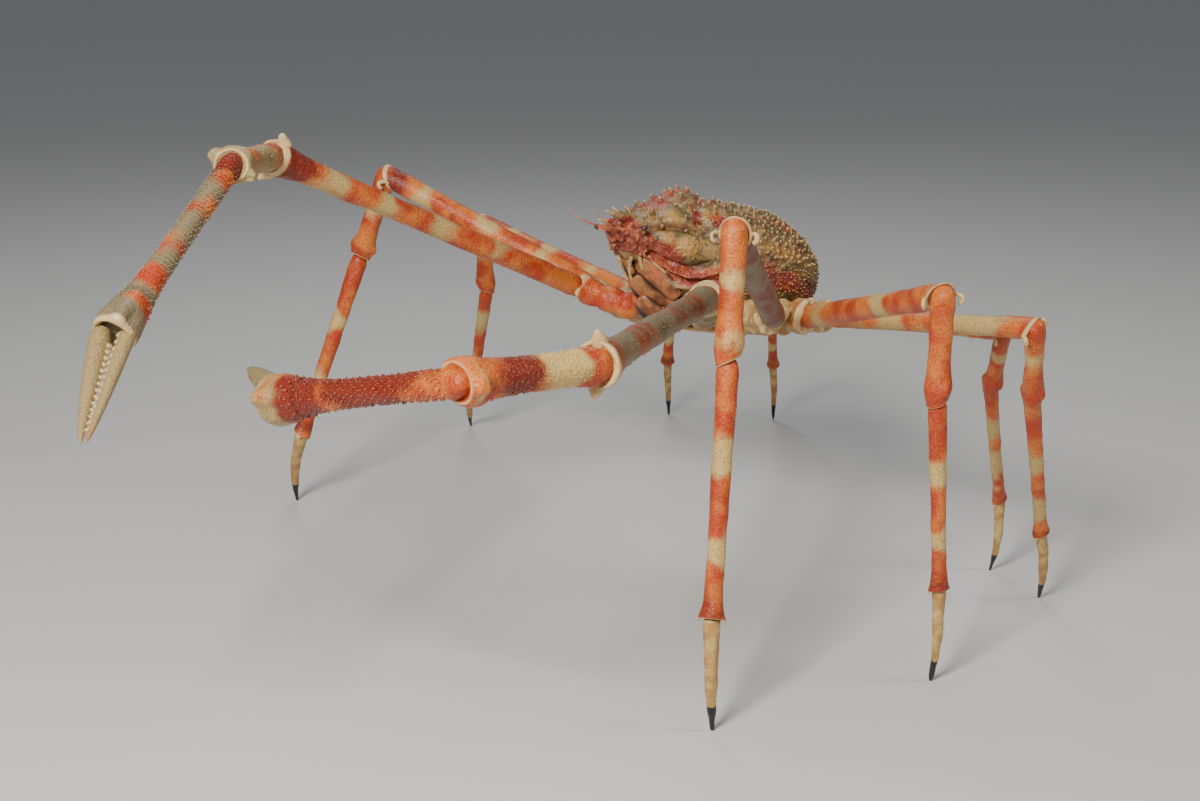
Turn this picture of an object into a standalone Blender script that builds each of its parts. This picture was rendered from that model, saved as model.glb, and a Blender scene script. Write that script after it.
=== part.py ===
"""Japanese spider crab, an adult male at life size, standing on its eight walking legs.

The crab faces -Y and its left side is +X. Body points are given as (outward, forward, up)
from the middle of the body, which is tilted nose up and left side up. Each limb is a chain
of tapered shells, and neighbours meet on one plane with a thin gap.
"""
import math
import random
from math import cos, pi, radians, sin

import bmesh
import bpy
from mathutils import Matrix, Vector

# Body
BODY_HEIGHT = 0.440
NOSE_UP = 10
LEFT_UP = 7
GAP = 0.0003

# Carapace, rear to front: forward, half width, top, and level of the widest line
SHELL_STATIONS = (
    (-0.162, 0.026, -0.004, -0.034),
    (-0.152, 0.050, 0.012, -0.030),
    (-0.130, 0.082, 0.029, -0.024),
    (-0.095, 0.110, 0.046, -0.018),
    (-0.050, 0.128, 0.060, -0.012),
    (0.000, 0.118, 0.067, -0.007),
    (0.050, 0.088, 0.069, -0.002),
    (0.095, 0.066, 0.059, 0.002),
    (0.130, 0.050, 0.043, 0.004),
    (0.148, 0.038, 0.034, 0.006),
    (0.158, 0.020, 0.026, 0.008),
)
# Its underside: level under the thorax, then a straight rise under the mouth
SHELL_FLOOR = (
    (-0.162, -0.057), (-0.152, -0.060), (0.050, -0.060), (0.126, -0.041), (0.148, -0.018), (0.158, -0.002)
)
SHELL_RINGS = 24
SHELL_ARCH = 18
SHELL_FLANK = 3
FLOOR_SHARE = 0.74
# Swellings of the shell: outward, forward, height, spread across, spread along
LOBES = (
    (0.000, 0.052, 0.009, 0.034, 0.038),
    (0.000, -0.078, 0.006, 0.022, 0.028),
    (0.066, -0.050, 0.004, 0.030, 0.045),
    (-0.066, -0.050, 0.004, 0.030, 0.045),
)

# Roots of the five pairs of limbs on the breastplate: outward, forward; and their hips
ROOT_DROP = -0.080
COXA_ROOTS = {
    1: (0.075, 0.058),
    2: (0.090, 0.012),
    3: (0.088, -0.030),
    4: (0.078, -0.068),
    5: (0.060, -0.100),
}
HIPS = {
    1: (0.133, 0.105, -0.058),
    2: (0.158, 0.013, -0.076),
    3: (0.161, -0.046, -0.074),
    4: (0.144, -0.098, -0.073),
    5: (0.109, -0.140, -0.072),
}

# Lengths of merus, carpus, propodus and dactylus of each pair
LENGTHS = {
    1: (0.535, 0.175, 0.275, 0.150),
    2: (0.385, 0.145, 0.280, 0.139),
    3: (0.385, 0.128, 0.236, 0.126),
    4: (0.345, 0.127, 0.222, 0.124),
    5: (0.292, 0.120, 0.217, 0.117),
}
# Radii of the coxa at its root, and of hip, merus, carpus, propodus and dactylus
RADII = {
    1: (0.0155, 0.0185, 0.0170, 0.0180, 0.0165, 0.0100),
    2: (0.0160, 0.0185, 0.0155, 0.0145, 0.0122, 0.0098),
    3: (0.0158, 0.0180, 0.0150, 0.0134, 0.0104, 0.0082),
    4: (0.0145, 0.0165, 0.0132, 0.0118, 0.0100, 0.0078),
    5: (0.0130, 0.0150, 0.0120, 0.0105, 0.0092, 0.0074),
}
RIGHT_CLAW_SHARE = 0.86

# Pose: for each limb the heading from straight outward towards the front, and the rise,
# of merus, carpus, propodus and dactylus. A walking leg's merus has no rise of its own,
# because it is worked out so that the tip stands on the floor.
POSE = {
    "L1": ((51, 5), (82, 5), (168, -14), (-165, -3)),
    "R1": ((97, 25), (140, 5), (126, -28), (145, -27)),
    "L2": ((49, None), (52, -82), (55, -80), (-129, -84)),
    "R2": ((40, None), (14, -64), (67, -70), (-16, -63)),
    "L3": ((20, None), (-133, -83), (-112, -81), (-144, -80)),
    "R3": ((7, None), (-36, -70), (-20, -58), (-30, -43)),
    "L4": ((-1, None), (-128, -58), (-117, -64), (-127, -63)),
    "R4": ((-37, None), (-29, -54), (-34, -57), (-42, -65)),
    "L5": ((-2, None), (-140, -52), (-121, -58), (-144, -75)),
    "R5": ((-53, None), (-46, -35), (-44, -48), (-46, -72)),
}
SEGMENTS = ("coxa", "merus", "carpus", "propodus", "dactylus")

# Profiles: share of the way along a segment, and radius as a share of the segment's own
MERUS_PROFILE = (
    (0.0, 1.0), (0.08, 1.04), (0.30, 0.98), (0.65, 0.94), (0.88, 0.98), (0.96, 1.14), (1.0, 1.24)
)
CARPUS_PROFILE = ((0.0, 1.0), (0.15, 1.05), (0.45, 0.95), (0.78, 0.98), (0.92, 1.18), (1.0, 1.20))
PROPODUS_PROFILE = (
    (0.0, 1.08), (0.08, 1.06), (0.35, 0.95), (0.70, 0.82), (0.92, 0.84), (0.98, 1.04), (1.0, 1.04)
)
PALM_PROFILE = (
    (0.0, 0.78), (0.06, 0.86), (0.25, 0.84), (0.55, 0.90), (0.78, 1.00), (0.91, 1.42), (1.0, 1.56)
)
COXA_PROFILE = ((0.0, 1.0), (0.5, 1.0), (0.85, 1.02), (1.0, 1.05))
FINGER_PROFILE = ((0.0, 1.0), (0.15, 0.98), (0.45, 0.78), (0.75, 0.52), (1.0, 0.20))
DACTYLUS_PROFILE = ((0.0, 1.02), (0.10, 0.94), (0.40, 0.80), (0.72, 0.58), (1.0, 0.26))
SIDES = 10
STEEP_BEND = 70
SOCKET_TILT = 25
SOCKET_DEPTH = 0.72
HEAD_RISE = 0.75
HEAD_TURNS = (radians(80), radians(52), radians(24))
SHORTEST_STEP = 0.002
DACTYLUS_BOW = 0.05

# Claws: the way the movable finger lies from the palm's middle, and the fingers' sizes
CLAW_OPENS = {"L1": (0.0, 0.0, 1.0), "R1": (-0.6, -0.8, 0.0)}
MOVABLE_SIZE = 1.22
FIXED_SIZE = 0.95
FIXED_SINK = 0.020
FINGER_GAP = 0.0030
FINGER_TIP_GAP = 0.0006
FINGER_FLAT = 0.8

# Breastplate, folded tail and mouth plates
BREAST_TOP = -0.0603
BREAST_BOTTOM = -0.098
BREAST_FRONT = 0.052
BREAST_REAR = -0.112
BREAST_HALF = 0.12
ABDOMEN_OUTLINE = (
    (-0.108, 0.030), (-0.085, 0.034), (-0.055, 0.028), (-0.020, 0.022), (0.012, 0.016), (0.028, 0.007)
)
ABDOMEN_THICKNESS = 0.008
MOUTH_OUTLINE = ((0.056, 0.012), (0.066, 0.017), (0.095, 0.018), (0.116, 0.015), (0.126, 0.010))
MOUTH_THICKNESS = 0.014
MOUTH_SLIT = 0.003
PLATE_CORNER = 0.7

# Eyes and antennae: points outward, forward, up, and radii along them
EYE_LINE = (
    (0.026, 0.128, 0.020), (0.036, 0.136, 0.022), (0.043, 0.142, 0.023),
    (0.049, 0.147, 0.024), (0.053, 0.150, 0.025),
)
EYE_RADII = (0.0020, 0.0034, 0.0046, 0.0050, 0.0026)
EYE_SIDES = 10
ANTENNA_LINE = (
    (0.012, 0.140, 0.018), (0.015, 0.156, 0.021), (0.018, 0.168, 0.024),
    (0.020, 0.180, 0.027), (0.022, 0.192, 0.031), (0.024, 0.203, 0.037), (0.026, 0.212, 0.044),
)
ANTENNA_RADII = (0.0030, 0.0034, 0.0030, 0.0018, 0.0014, 0.0011, 0.0007)
ANTENNA_SIDES = 6
ANTENNA_SUNK = 3

# Spines of the face: base and way as outward, forward, up, then length and radius
FACE_SPINES = (
    ((0.010, 0.136, 0.034), (0.20, 0.96, 0.17), 0.054, 0.0068),
    ((0.030, 0.118, 0.040), (0.55, 0.62, 0.56), 0.020, 0.0055),
    ((0.044, 0.108, 0.022), (0.80, 0.55, 0.25), 0.024, 0.0060),
    ((0.052, 0.088, 0.000), (0.90, 0.42, 0.10), 0.026, 0.0062),
    ((0.044, 0.122, -0.012), (0.72, 0.66, -0.20), 0.018, 0.0050),
)
FACE_SPINE_SIDES = 6

# Spines all over the carapace: from the rear, where they are small, to the front
SEED = 41
SPINE_TRIES = 9000
SPINE_SIDES = 4
SPINE_SPACING = (0.0140, 0.0180)
SPINE_RISE = (0.0055, 0.0095)
SPINE_ROOT = (0.0036, 0.0048)
SPINE_SINK = 0.0040
SPINE_LEAN = 0.25
SPINE_REAR = -0.150
SPINE_FRONT = 0.136
SPINE_EDGE = radians(4)
SPINE_CLEAR = 0.020

# Tubercles of the claw limbs: rings along the segment and tubercles in a ring
CLAW_TUBERCLES = {"merus": (10, 4), "carpus": (4, 4), "propodus": (8, 5)}
TUBERCLE_RISE = 0.0038
TUBERCLE_ROOT = 0.0034
TUBERCLE_SINK = 0.0035
TUBERCLE_JITTER = 0.25
TUBERCLE_SPAN = (0.08, 0.84)

# Horns beside the knee: set back from the joint, depth of the root as a share of the
# radius, tilt away from the limb, length and radius, for the claw limbs and for the legs
CLAW_HORN = (0.010, 0.70, 66, 0.027, 0.0072)
LEG_HORN = (0.008, 0.65, 50, 0.026, 0.0050)
HORN_SIDES = 5

SHARP_ANGLE = radians(40)
COLLECTION = "japanese_spider_crab"
# Colour and roughness of the nodes whose names start so
FINISHES = {
    "carapace": ((0.42, 0.30, 0.20), 0.55),
    "breastplate": ((0.70, 0.52, 0.36), 0.50),
    "abdomen": ((0.72, 0.55, 0.40), 0.50),
    "maxilliped": ((0.62, 0.36, 0.24), 0.45),
    "eye": ((0.03, 0.02, 0.02), 0.15),
    "antenna": ((0.55, 0.20, 0.12), 0.50),
    "cheliped": ((0.66, 0.22, 0.10), 0.40),
    "leg": ((0.76, 0.26, 0.10), 0.40),
}


def clear_scene():
    for thing in list(bpy.data.objects):
        bpy.data.objects.remove(thing, do_unlink=True)


def new_collection(name):
    collection = bpy.data.collections.new(name)
    bpy.context.scene.collection.children.link(collection)
    return collection


def material(name, colour, roughness):
    finish = bpy.data.materials.new(name)
    finish.use_nodes = True
    shader = finish.node_tree.nodes["Principled BSDF"]
    shader.inputs["Base Color"].default_value = (*colour, 1)
    shader.inputs["Roughness"].default_value = roughness
    return finish


def body_matrix():
    tilt = Matrix.Rotation(radians(-NOSE_UP), 4, "X") @ Matrix.Rotation(radians(-LEFT_UP), 4, "Y")
    return Matrix.Translation((0, 0, BODY_HEIGHT)) @ tilt


def body_point(outward, forward, up):
    return body_matrix() @ Vector((outward, -forward, up))


def smooth_value(rows, at, column):
    """Value of one column of a table of stations, by a smooth curve through its rows."""
    for index in range(len(rows) - 1):
        if at <= rows[index + 1][0]:
            break
    before = rows[max(index - 1, 0)]
    start = rows[index]
    end = rows[index + 1]
    after = rows[min(index + 2, len(rows) - 1)]
    span = end[0] - start[0]
    share = (at - start[0]) / span
    slope_in = (end[column] - before[column]) / max(end[0] - before[0], 1e-9) * span
    slope_out = (after[column] - start[column]) / max(after[0] - start[0], 1e-9) * span
    cubic = share * share * (3 - 2 * share)
    lead = share * (1 - share) * (1 - share) * slope_in
    trail = share * share * (1 - share) * slope_out
    return start[column] + (end[column] - start[column]) * cubic + lead - trail


def straight_value(rows, at, column):
    for start, end in zip(rows, rows[1:]):
        if at <= end[0]:
            share = (at - start[0]) / (end[0] - start[0])
            return start[column] + (end[column] - start[column]) * share
    return rows[-1][column]


def loft(name, rings):
    """A closed body through rings of equally many points, with a flat cap at each end."""
    mesh = bmesh.new()
    rows = [[mesh.verts.new(point) for point in ring] for ring in rings]
    count = len(rings[0])
    for lower, upper in zip(rows, rows[1:]):
        for k in range(count):
            mesh.faces.new((lower[k], lower[(k + 1) % count], upper[(k + 1) % count], upper[k]))
    mesh.faces.new(list(reversed(rows[0])))
    mesh.faces.new(rows[-1])
    bmesh.ops.recalc_face_normals(mesh, faces=mesh.faces)
    return mesh_object(name, mesh)


def mesh_object(name, mesh):
    data = bpy.data.meshes.new(name)
    mesh.to_mesh(data)
    mesh.free()
    return bpy.data.objects.new(name, data)


def cut_by_plane(piece, point, normal):
    """Removes what lies behind the plane and closes the cut with one flat face."""
    mesh = bmesh.new()
    mesh.from_mesh(piece.data)
    geometry = mesh.verts[:] + mesh.edges[:] + mesh.faces[:]
    cut = bmesh.ops.bisect_plane(mesh, geom=geometry, plane_co=point, plane_no=normal, clear_inner=True)
    rim = [item for item in cut["geom_cut"] if isinstance(item, bmesh.types.BMEdge)]
    if rim:
        bmesh.ops.holes_fill(mesh, edges=rim)
    bmesh.ops.recalc_face_normals(mesh, faces=mesh.faces)
    mesh.to_mesh(piece.data)
    mesh.free()


def shell_height(outward, forward):
    """Extra height of the shell's swellings at a place."""
    extra = 0
    for across, along, height, wide, long in LOBES:
        extra += height * math.exp(-((outward - across) / wide) ** 2 - ((forward - along) / long) ** 2)
    return extra


def shell_point(forward, angle):
    """A point on the carapace's arch: angle 0 is the left widest line, pi the right one."""
    half = smooth_value(SHELL_STATIONS, forward, 1)
    top = smooth_value(SHELL_STATIONS, forward, 2)
    waist = smooth_value(SHELL_STATIONS, forward, 3)
    outward = half * cos(angle)
    rise = sin(angle)
    up = waist + (top - waist) * rise + shell_height(outward, forward) * rise
    return Vector((outward, -forward, up))


def shell_ring(forward):
    half = smooth_value(SHELL_STATIONS, forward, 1)
    bottom = straight_value(SHELL_FLOOR, forward, 1)
    waist = smooth_value(SHELL_STATIONS, forward, 3)
    points = [shell_point(forward, pi * k / SHELL_ARCH) for k in range(SHELL_ARCH + 1)]
    for side in (-1, 1):
        steps = range(1, SHELL_FLANK + 1) if side < 0 else range(SHELL_FLANK, 0, -1)
        for k in steps:
            turn = pi / 2 * k / SHELL_FLANK
            outward = side * half * (FLOOR_SHARE + (1 - FLOOR_SHARE) * cos(turn))
            points.append(Vector((outward, -forward, waist - (waist - bottom) * sin(turn))))
    return points


def limb_radii(limb):
    share = RIGHT_CLAW_SHARE if limb == "R1" else 1
    return [radius * share for radius in RADII[int(limb[1])]]


def direction(side, heading, rise):
    flat = cos(radians(rise))
    return Vector((side * flat * cos(radians(heading)), -flat * sin(radians(heading)), sin(radians(rise))))


def limb_joints(limb):
    """Root, hip and the joints down to the tip of a limb."""
    side = 1 if limb[0] == "L" else -1
    pair = int(limb[1])
    root = body_point(side * COXA_ROOTS[pair][0], COXA_ROOTS[pair][1], ROOT_DROP)
    joints = [root, body_point(side * HIPS[pair][0], HIPS[pair][1], HIPS[pair][2])]
    pose = list(POSE[limb])
    lengths = LENGTHS[pair]
    if pose[0][1] is None:
        fall = sum(length * sin(radians(-rise)) for length, (_, rise) in zip(lengths[1:], pose[1:]))
        pose[0] = (pose[0][0], math.degrees(math.asin((fall - joints[1].z) / lengths[0])))
    for length, (heading, rise) in zip(lengths, pose):
        joints.append(joints[-1] + direction(side, heading, rise) * length)
    return joints


def joint_plane(before, joint, after, radius):
    """The plane on which two segments meet, and whether the outer one has a round head."""
    incoming = (joint - before).normalized()
    outgoing = (after - joint).normalized()
    bend = incoming.angle(outgoing)
    if bend < radians(STEEP_BEND):
        return joint, (incoming + outgoing).normalized(), False
    axis = incoming.cross(outgoing).normalized()
    normal = Matrix.Rotation(radians(SOCKET_TILT), 3, axis) @ incoming
    return joint - normal * radius * SOCKET_DEPTH, normal, True


def slide_to_plane(point, along, centre, normal):
    return point + along * ((centre - point).dot(normal) / along.dot(normal))


def segment(name, start, end, ends, side_axis, profile, radii, bow):
    """A tapered tube between two joints, cut on the planes where it meets its neighbours."""
    start_plane, end_plane = ends
    along = (end - start).normalized()
    across = (side_axis - along * side_axis.dot(along)).normalized()
    over = along.cross(across)
    length = (end - start).length

    def ring(at, share, radius):
        middle = start + along * at + over * (bow * length * sin(pi * share))
        turns = [2 * pi * (k + 0.5) / SIDES for k in range(SIDES)]
        return [middle + (across * cos(turn) + over * sin(turn)) * radius for turn in turns]

    def radius_at(share):
        size = straight_value(radii, share, 1)
        return straight_value(profile, share, 1) * size

    rings = []
    first = 0.0
    head = start_plane[2]
    if head:
        size = radius_at(0.0)
        for turn in HEAD_TURNS:
            rings.append(ring(-size * HEAD_RISE * sin(turn), 0, size * cos(turn)))
    else:
        centre, normal, _ = start_plane
        centre = centre + normal * GAP / 2
        base = [slide_to_plane(point, along, centre, normal) for point in ring(0, 0, radius_at(0.0))]
        rings.append(base)
        first = max((point - start).dot(along) for point in base)
    last = length
    final = None
    if end_plane:
        centre, normal, _ = end_plane
        centre = centre - normal * GAP / 2
        final = [slide_to_plane(point, along, centre, normal) for point in ring(length, 1, radius_at(1.0))]
        last = min((point - start).dot(along) for point in final)
    shares = [row[0] for row in profile if 0 < row[0] < 1]
    if head:
        shares = [0.0] + shares
    for share in shares:
        at = first + (last - first) * share
        if head or first + SHORTEST_STEP < at < last - SHORTEST_STEP:
            rings.append(ring(at, share, radius_at(share)))
    rings.append(final if final else ring(length, 1, radius_at(1.0)))
    piece = loft(name, rings)
    if head:
        centre, normal, _ = start_plane
        cut_by_plane(piece, centre + normal * GAP / 2, normal)
    return piece


def claw_ways(limb, along):
    """The claw's opening way and its hinge axis, both square to the palm."""
    opening = Vector(CLAW_OPENS[limb])
    opening = (opening - along * opening.dot(along)).normalized()
    return opening, along.cross(opening)


def finger(name, base, tip, radius, side, hinge):
    """A tapered finger of the claw, whose inner edge runs straight from base to tip."""
    rings = []
    for share, size in FINGER_PROFILE:
        bite = FINGER_GAP * (1 - share) + FINGER_TIP_GAP * share
        middle = base.lerp(tip, share) + side * (radius * size + bite)
        ways = []
        for k in range(SIDES):
            turn = 2 * pi * (k + 0.5) / SIDES
            ways.append(hinge * cos(turn) * FINGER_FLAT + side * sin(turn))
        rings.append([middle + way * radius * size for way in ways])
    return loft(name, rings)


def spine(base, way, length, radius, sides):
    """A pointed cone whose root lies inside the piece it grows from."""
    mesh = bmesh.new()
    bmesh.ops.create_cone(mesh, cap_ends=True, segments=sides, radius1=radius, radius2=0, depth=length)
    turn = way.to_track_quat("Z", "Y").to_matrix().to_4x4()
    place = Matrix.Translation(base + way * length / 2) @ turn
    bmesh.ops.transform(mesh, matrix=place, verts=mesh.verts)
    return mesh_object("spine", mesh)


def knee_horns(plane_centre, hip, knee, ankle, radius, pair):
    """Two horns on the end of the merus, at the two ends of the hinge of the knee."""
    back, depth, tilt, length, root = CLAW_HORN if pair == 1 else LEG_HORN
    along = (knee - hip).normalized()
    across = along.cross(ankle - knee).normalized()
    foot = knee + along * ((plane_centre - knee).dot(along) - back)
    horns = []
    for side in (-1, 1):
        way = along * cos(radians(tilt)) + across * side * sin(radians(tilt))
        base = foot + across * side * radius * depth
        horns.append(spine(base, way.normalized(), length, root, HORN_SIDES))
    return horns


def tubercles(start, end, across, profile, radius, counts, chance):
    """Low pointed tubercles in staggered rings around a segment of a claw limb."""
    along = (end - start).normalized()
    side = (across - along * across.dot(along)).normalized()
    over = along.cross(side)
    rings, around = counts
    grown = []
    for row in range(rings):
        for place in range(around):
            share = (row + 0.5 + TUBERCLE_JITTER * chance.uniform(-1, 1)) / rings
            share = TUBERCLE_SPAN[0] + (TUBERCLE_SPAN[1] - TUBERCLE_SPAN[0]) * share
            turn = 2 * pi * (place + row % 2 / 2 + TUBERCLE_JITTER * chance.uniform(-1, 1)) / around
            way = side * cos(turn) + over * sin(turn)
            surface = radius * straight_value(profile, share, 1) * cos(pi / SIDES)
            foot = start.lerp(end, share) + way * (surface - TUBERCLE_SINK)
            grown.append(spine(foot, way, TUBERCLE_SINK + TUBERCLE_RISE, TUBERCLE_ROOT, SPINE_SIDES))
    return grown


def build_limb(limb, parts):
    pair = int(limb[1])
    kind = "cheliped" if pair == 1 else "leg%d" % pair
    joints = limb_joints(limb)
    sizes = limb_radii(limb)
    merus_way = joints[2] - joints[1]
    side_axis = Vector((-merus_way.y, merus_way.x, 0)).normalized()
    body_up = body_matrix().to_3x3() @ Vector((0, 0, 1))
    planes = [(joints[0], (joints[1] - joints[0]).normalized(), False)]
    for k in range(1, 5):
        planes.append(joint_plane(joints[k - 1], joints[k], joints[k + 1], sizes[k + 1]))
    if pair == 1:
        palm_way = (joints[4] - joints[3]).normalized()
        opening, hinge = claw_ways(limb, palm_way)
        planes[4] = (joints[4], palm_way, False)
    hand = PALM_PROFILE if pair == 1 else PROPODUS_PROFILE
    profiles = [COXA_PROFILE, MERUS_PROFILE, CARPUS_PROFILE, hand, DACTYLUS_PROFILE]
    pieces = []
    for k, label in enumerate(SEGMENTS):
        name = "%s_%s_%s" % (kind, label, limb[0])
        near = sizes[0] if k == 0 else sizes[k + 1]
        radii = ((0.0, near), (1.0, sizes[1] if k == 0 else near))
        end_plane = planes[k + 1] if k < 4 else None
        across = body_up if k == 0 else side_axis
        bow = DACTYLUS_BOW if k == 4 else 0.0
        if pair == 1 and k == 3:
            across = hinge
        if pair == 1 and k == 4:
            piece = finger(name, joints[4] - palm_way * near, joints[5], near * MOVABLE_SIZE, opening, hinge)
            cut_by_plane(piece, joints[4] + palm_way * GAP, palm_way)
        else:
            ends = (planes[k], end_plane)
            piece = segment(name, joints[k], joints[k + 1], ends, across, profiles[k], radii, bow)
        parts.objects.link(piece)
        pieces.append(piece)
    horns = knee_horns(planes[2][0], joints[1], joints[2], joints[3], sizes[2], pair)
    if pair > 1:
        fuse(pieces[1], horns)
        cut_by_plane(pieces[4], Vector((0, 0, 0)), Vector((0, 0, 1)))
        return
    base = joints[4] - palm_way * FIXED_SINK
    fixed = finger("fixed_finger", base, joints[5], sizes[5] * FIXED_SIZE, -opening, hinge)
    chance = random.Random(SEED + (limb[0] == "L"))
    for k, label in enumerate(SEGMENTS):
        if label not in CLAW_TUBERCLES:
            continue
        across = hinge if label == "propodus" else side_axis
        counts = CLAW_TUBERCLES[label]
        grown = tubercles(joints[k], joints[k + 1], across, profiles[k], sizes[k + 1], counts, chance)
        if label == "merus":
            grown += horns
        if label == "propodus":
            grown.append(fixed)
        fuse(pieces[k], grown)


def largest_body(mesh):
    """Deletes all but the largest closed surface of a bmesh."""
    left = set(mesh.faces)
    best = []
    best_volume = -1.0
    while left:
        stack = [left.pop()]
        shell = list(stack)
        while stack:
            face = stack.pop()
            for edge in face.edges:
                for other in edge.link_faces:
                    if other in left:
                        left.remove(other)
                        stack.append(other)
                        shell.append(other)
        volume = 0.0
        for face in shell:
            corners = [loop.vert.co for loop in face.loops]
            for k in range(1, len(corners) - 1):
                volume += corners[0].dot(corners[k].cross(corners[k + 1])) / 6
        if volume > best_volume:
            best_volume = volume
            best = shell
    keep = set(best)
    bmesh.ops.delete(mesh, geom=[face for face in mesh.faces if face not in keep], context="FACES")


def apply_boolean(piece, others, operation, solver):
    """Joins or cuts a piece by a collection of closed meshes and keeps its largest surface."""
    tools = new_collection("tools")
    for other in others:
        tools.objects.link(other)
    boolean = piece.modifiers.new("join", "BOOLEAN")
    boolean.operation = operation
    boolean.operand_type = "COLLECTION"
    boolean.collection = tools
    boolean.solver = solver
    bpy.context.view_layer.update()
    whole = bpy.data.meshes.new_from_object(piece.evaluated_get(bpy.context.evaluated_depsgraph_get()))
    piece.modifiers.remove(boolean)
    mesh = bmesh.new()
    mesh.from_mesh(whole)
    bmesh.ops.triangulate(mesh, faces=mesh.faces)
    largest_body(mesh)
    mesh.to_mesh(piece.data)
    mesh.free()
    bpy.data.meshes.remove(whole)
    for other in others:
        bpy.data.objects.remove(other, do_unlink=True)
    bpy.data.collections.remove(tools)


def fuse(piece, others):
    apply_boolean(piece, others, "UNION", "MANIFOLD")


def carve(piece, others):
    apply_boolean(piece, others, "DIFFERENCE", "MANIFOLD")


def box_loft(name, sections, body):
    """A plate through rectangular sections: forward, centre outward, half width, top, bottom."""
    rings = []
    for forward, centre, half, top, bottom in sections:
        inner = half * PLATE_CORNER
        middle = (top + bottom) / 2
        outline = (
            (half, middle), (inner, top), (-inner, top), (-half, middle), (-inner, bottom), (inner, bottom)
        )
        rings.append([body @ Vector((centre + out, -forward, up)) for out, up in outline])
    return loft(name, rings)


def build_breastplate(body, parts):
    bpy.ops.mesh.primitive_cube_add(size=1)
    piece = bpy.context.object
    piece.name = "breastplate"
    for collection in list(piece.users_collection):
        collection.objects.unlink(piece)
    parts.objects.link(piece)
    middle = (BREAST_FRONT + BREAST_REAR) / 2
    size = Matrix.Diagonal((2 * BREAST_HALF, BREAST_FRONT - BREAST_REAR, BREAST_TOP - BREAST_BOTTOM, 1))
    place = Matrix.Translation((0, -middle, (BREAST_TOP + BREAST_BOTTOM) / 2))
    piece.data.transform(body @ place @ size)
    for limb in POSE:
        root, hip = limb_joints(limb)[:2]
        way = (hip - root).normalized()
        cut_by_plane(piece, root - way * GAP / 2, -way)
    return piece


def build_abdomen(body, parts):
    sections = []
    for forward, half in ABDOMEN_OUTLINE:
        top = BREAST_BOTTOM - GAP
        sections.append((forward, 0, half, top, top - ABDOMEN_THICKNESS))
    piece = box_loft("abdomen", sections, body)
    parts.objects.link(piece)
    return piece


def build_maxilliped(side, body, parts):
    name = "maxilliped_" + ("L" if side > 0 else "R")
    sections = []
    for forward, half in MOUTH_OUTLINE:
        top = straight_value(SHELL_FLOOR, forward, 1) - GAP
        sections.append((forward, side * (MOUTH_SLIT / 2 + half), half, top, top - MOUTH_THICKNESS))
    piece = box_loft(name, sections, body)
    parts.objects.link(piece)
    return piece


def spindle(name, points, radii, sides):
    """A round tapered body along a line of points."""
    rings = []
    for k, point in enumerate(points):
        ahead = points[min(k + 1, len(points) - 1)] - points[max(k - 1, 0)]
        turn = ahead.to_track_quat("Z", "Y")
        angles = [2 * pi * n / sides for n in range(sides)]
        rings.append([point + turn @ Vector((cos(angle), sin(angle), 0)) * radii[k] for angle in angles])
    return loft(name, rings)


def eye_shape(name, side, body, grown):
    points = [body @ Vector((side * out, -forward, up)) for out, forward, up in EYE_LINE]
    return spindle(name, points, [radius + grown for radius in EYE_RADII], EYE_SIDES)


def antenna_shape(name, side, body, grown, count):
    points = [body @ Vector((side * out, -forward, up)) for out, forward, up in ANTENNA_LINE[:count]]
    return spindle(name, points, [radius + grown for radius in ANTENNA_RADII[:count]], ANTENNA_SIDES)


def shell_spines(body):
    """Spines spread evenly over the arch of the shell, each along the shell's own normal."""
    chance = random.Random(SEED)
    step = 0.002
    taken = []
    spines = []
    sockets = [Vector((side * EYE_LINE[2][0], -EYE_LINE[2][1], EYE_LINE[2][2])) for side in (-1, 1)]
    for _ in range(SPINE_TRIES):
        forward = chance.uniform(SPINE_REAR, SPINE_FRONT)
        angle = chance.uniform(SPINE_EDGE, pi - SPINE_EDGE)
        share = (forward - SPINE_REAR) / (SPINE_FRONT - SPINE_REAR)
        point = shell_point(forward, angle)
        spacing = SPINE_SPACING[0] + (SPINE_SPACING[1] - SPINE_SPACING[0]) * share
        if any((point - other).length < spacing for other in taken):
            continue
        if any((point - socket).length < SPINE_CLEAR for socket in sockets):
            continue
        taken.append(point)
        ahead = shell_point(forward + step, angle) - point
        aside = shell_point(forward, angle + step) - point
        way = aside.cross(ahead).normalized()
        way = way if way.dot(Vector((point.x, 0, 1))) > 0 else -way
        way = (way + Vector((0, -SPINE_LEAN, 0))).normalized()
        rise = SPINE_RISE[0] + (SPINE_RISE[1] - SPINE_RISE[0]) * share
        root = SPINE_ROOT[0] + (SPINE_ROOT[1] - SPINE_ROOT[0]) * share
        base = point - way * SPINE_SINK
        length = rise + SPINE_SINK
        spines.append(spine(body @ base, body.to_3x3() @ way, length, root * length / rise, SPINE_SIDES))
    return spines


def build_carapace(body, parts):
    rear = SHELL_STATIONS[0][0]
    front = SHELL_STATIONS[-1][0]
    stops = [rear + (front - rear) * (0.5 - 0.5 * cos(pi * k / SHELL_RINGS)) for k in range(SHELL_RINGS + 1)]
    piece = loft("carapace", [[body @ point for point in shell_ring(stop)] for stop in stops])
    parts.objects.link(piece)
    turn = body.to_3x3()
    spines = []
    for side in (-1, 1):
        for (out, forward, up), (way_out, way_forward, way_up), length, radius in FACE_SPINES:
            base = body @ Vector((side * out, -forward, up))
            way = turn @ Vector((side * way_out, -way_forward, way_up)).normalized()
            spines.append(spine(base, way, length, radius, FACE_SPINE_SIDES))
    fuse(piece, spines + shell_spines(body))
    sockets = []
    for side in (-1, 1):
        sockets.append(eye_shape("eye_socket", side, body, GAP))
        sockets.append(antenna_shape("antenna_socket", side, body, GAP, ANTENNA_SUNK))
    carve(piece, sockets)
    return piece


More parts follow.
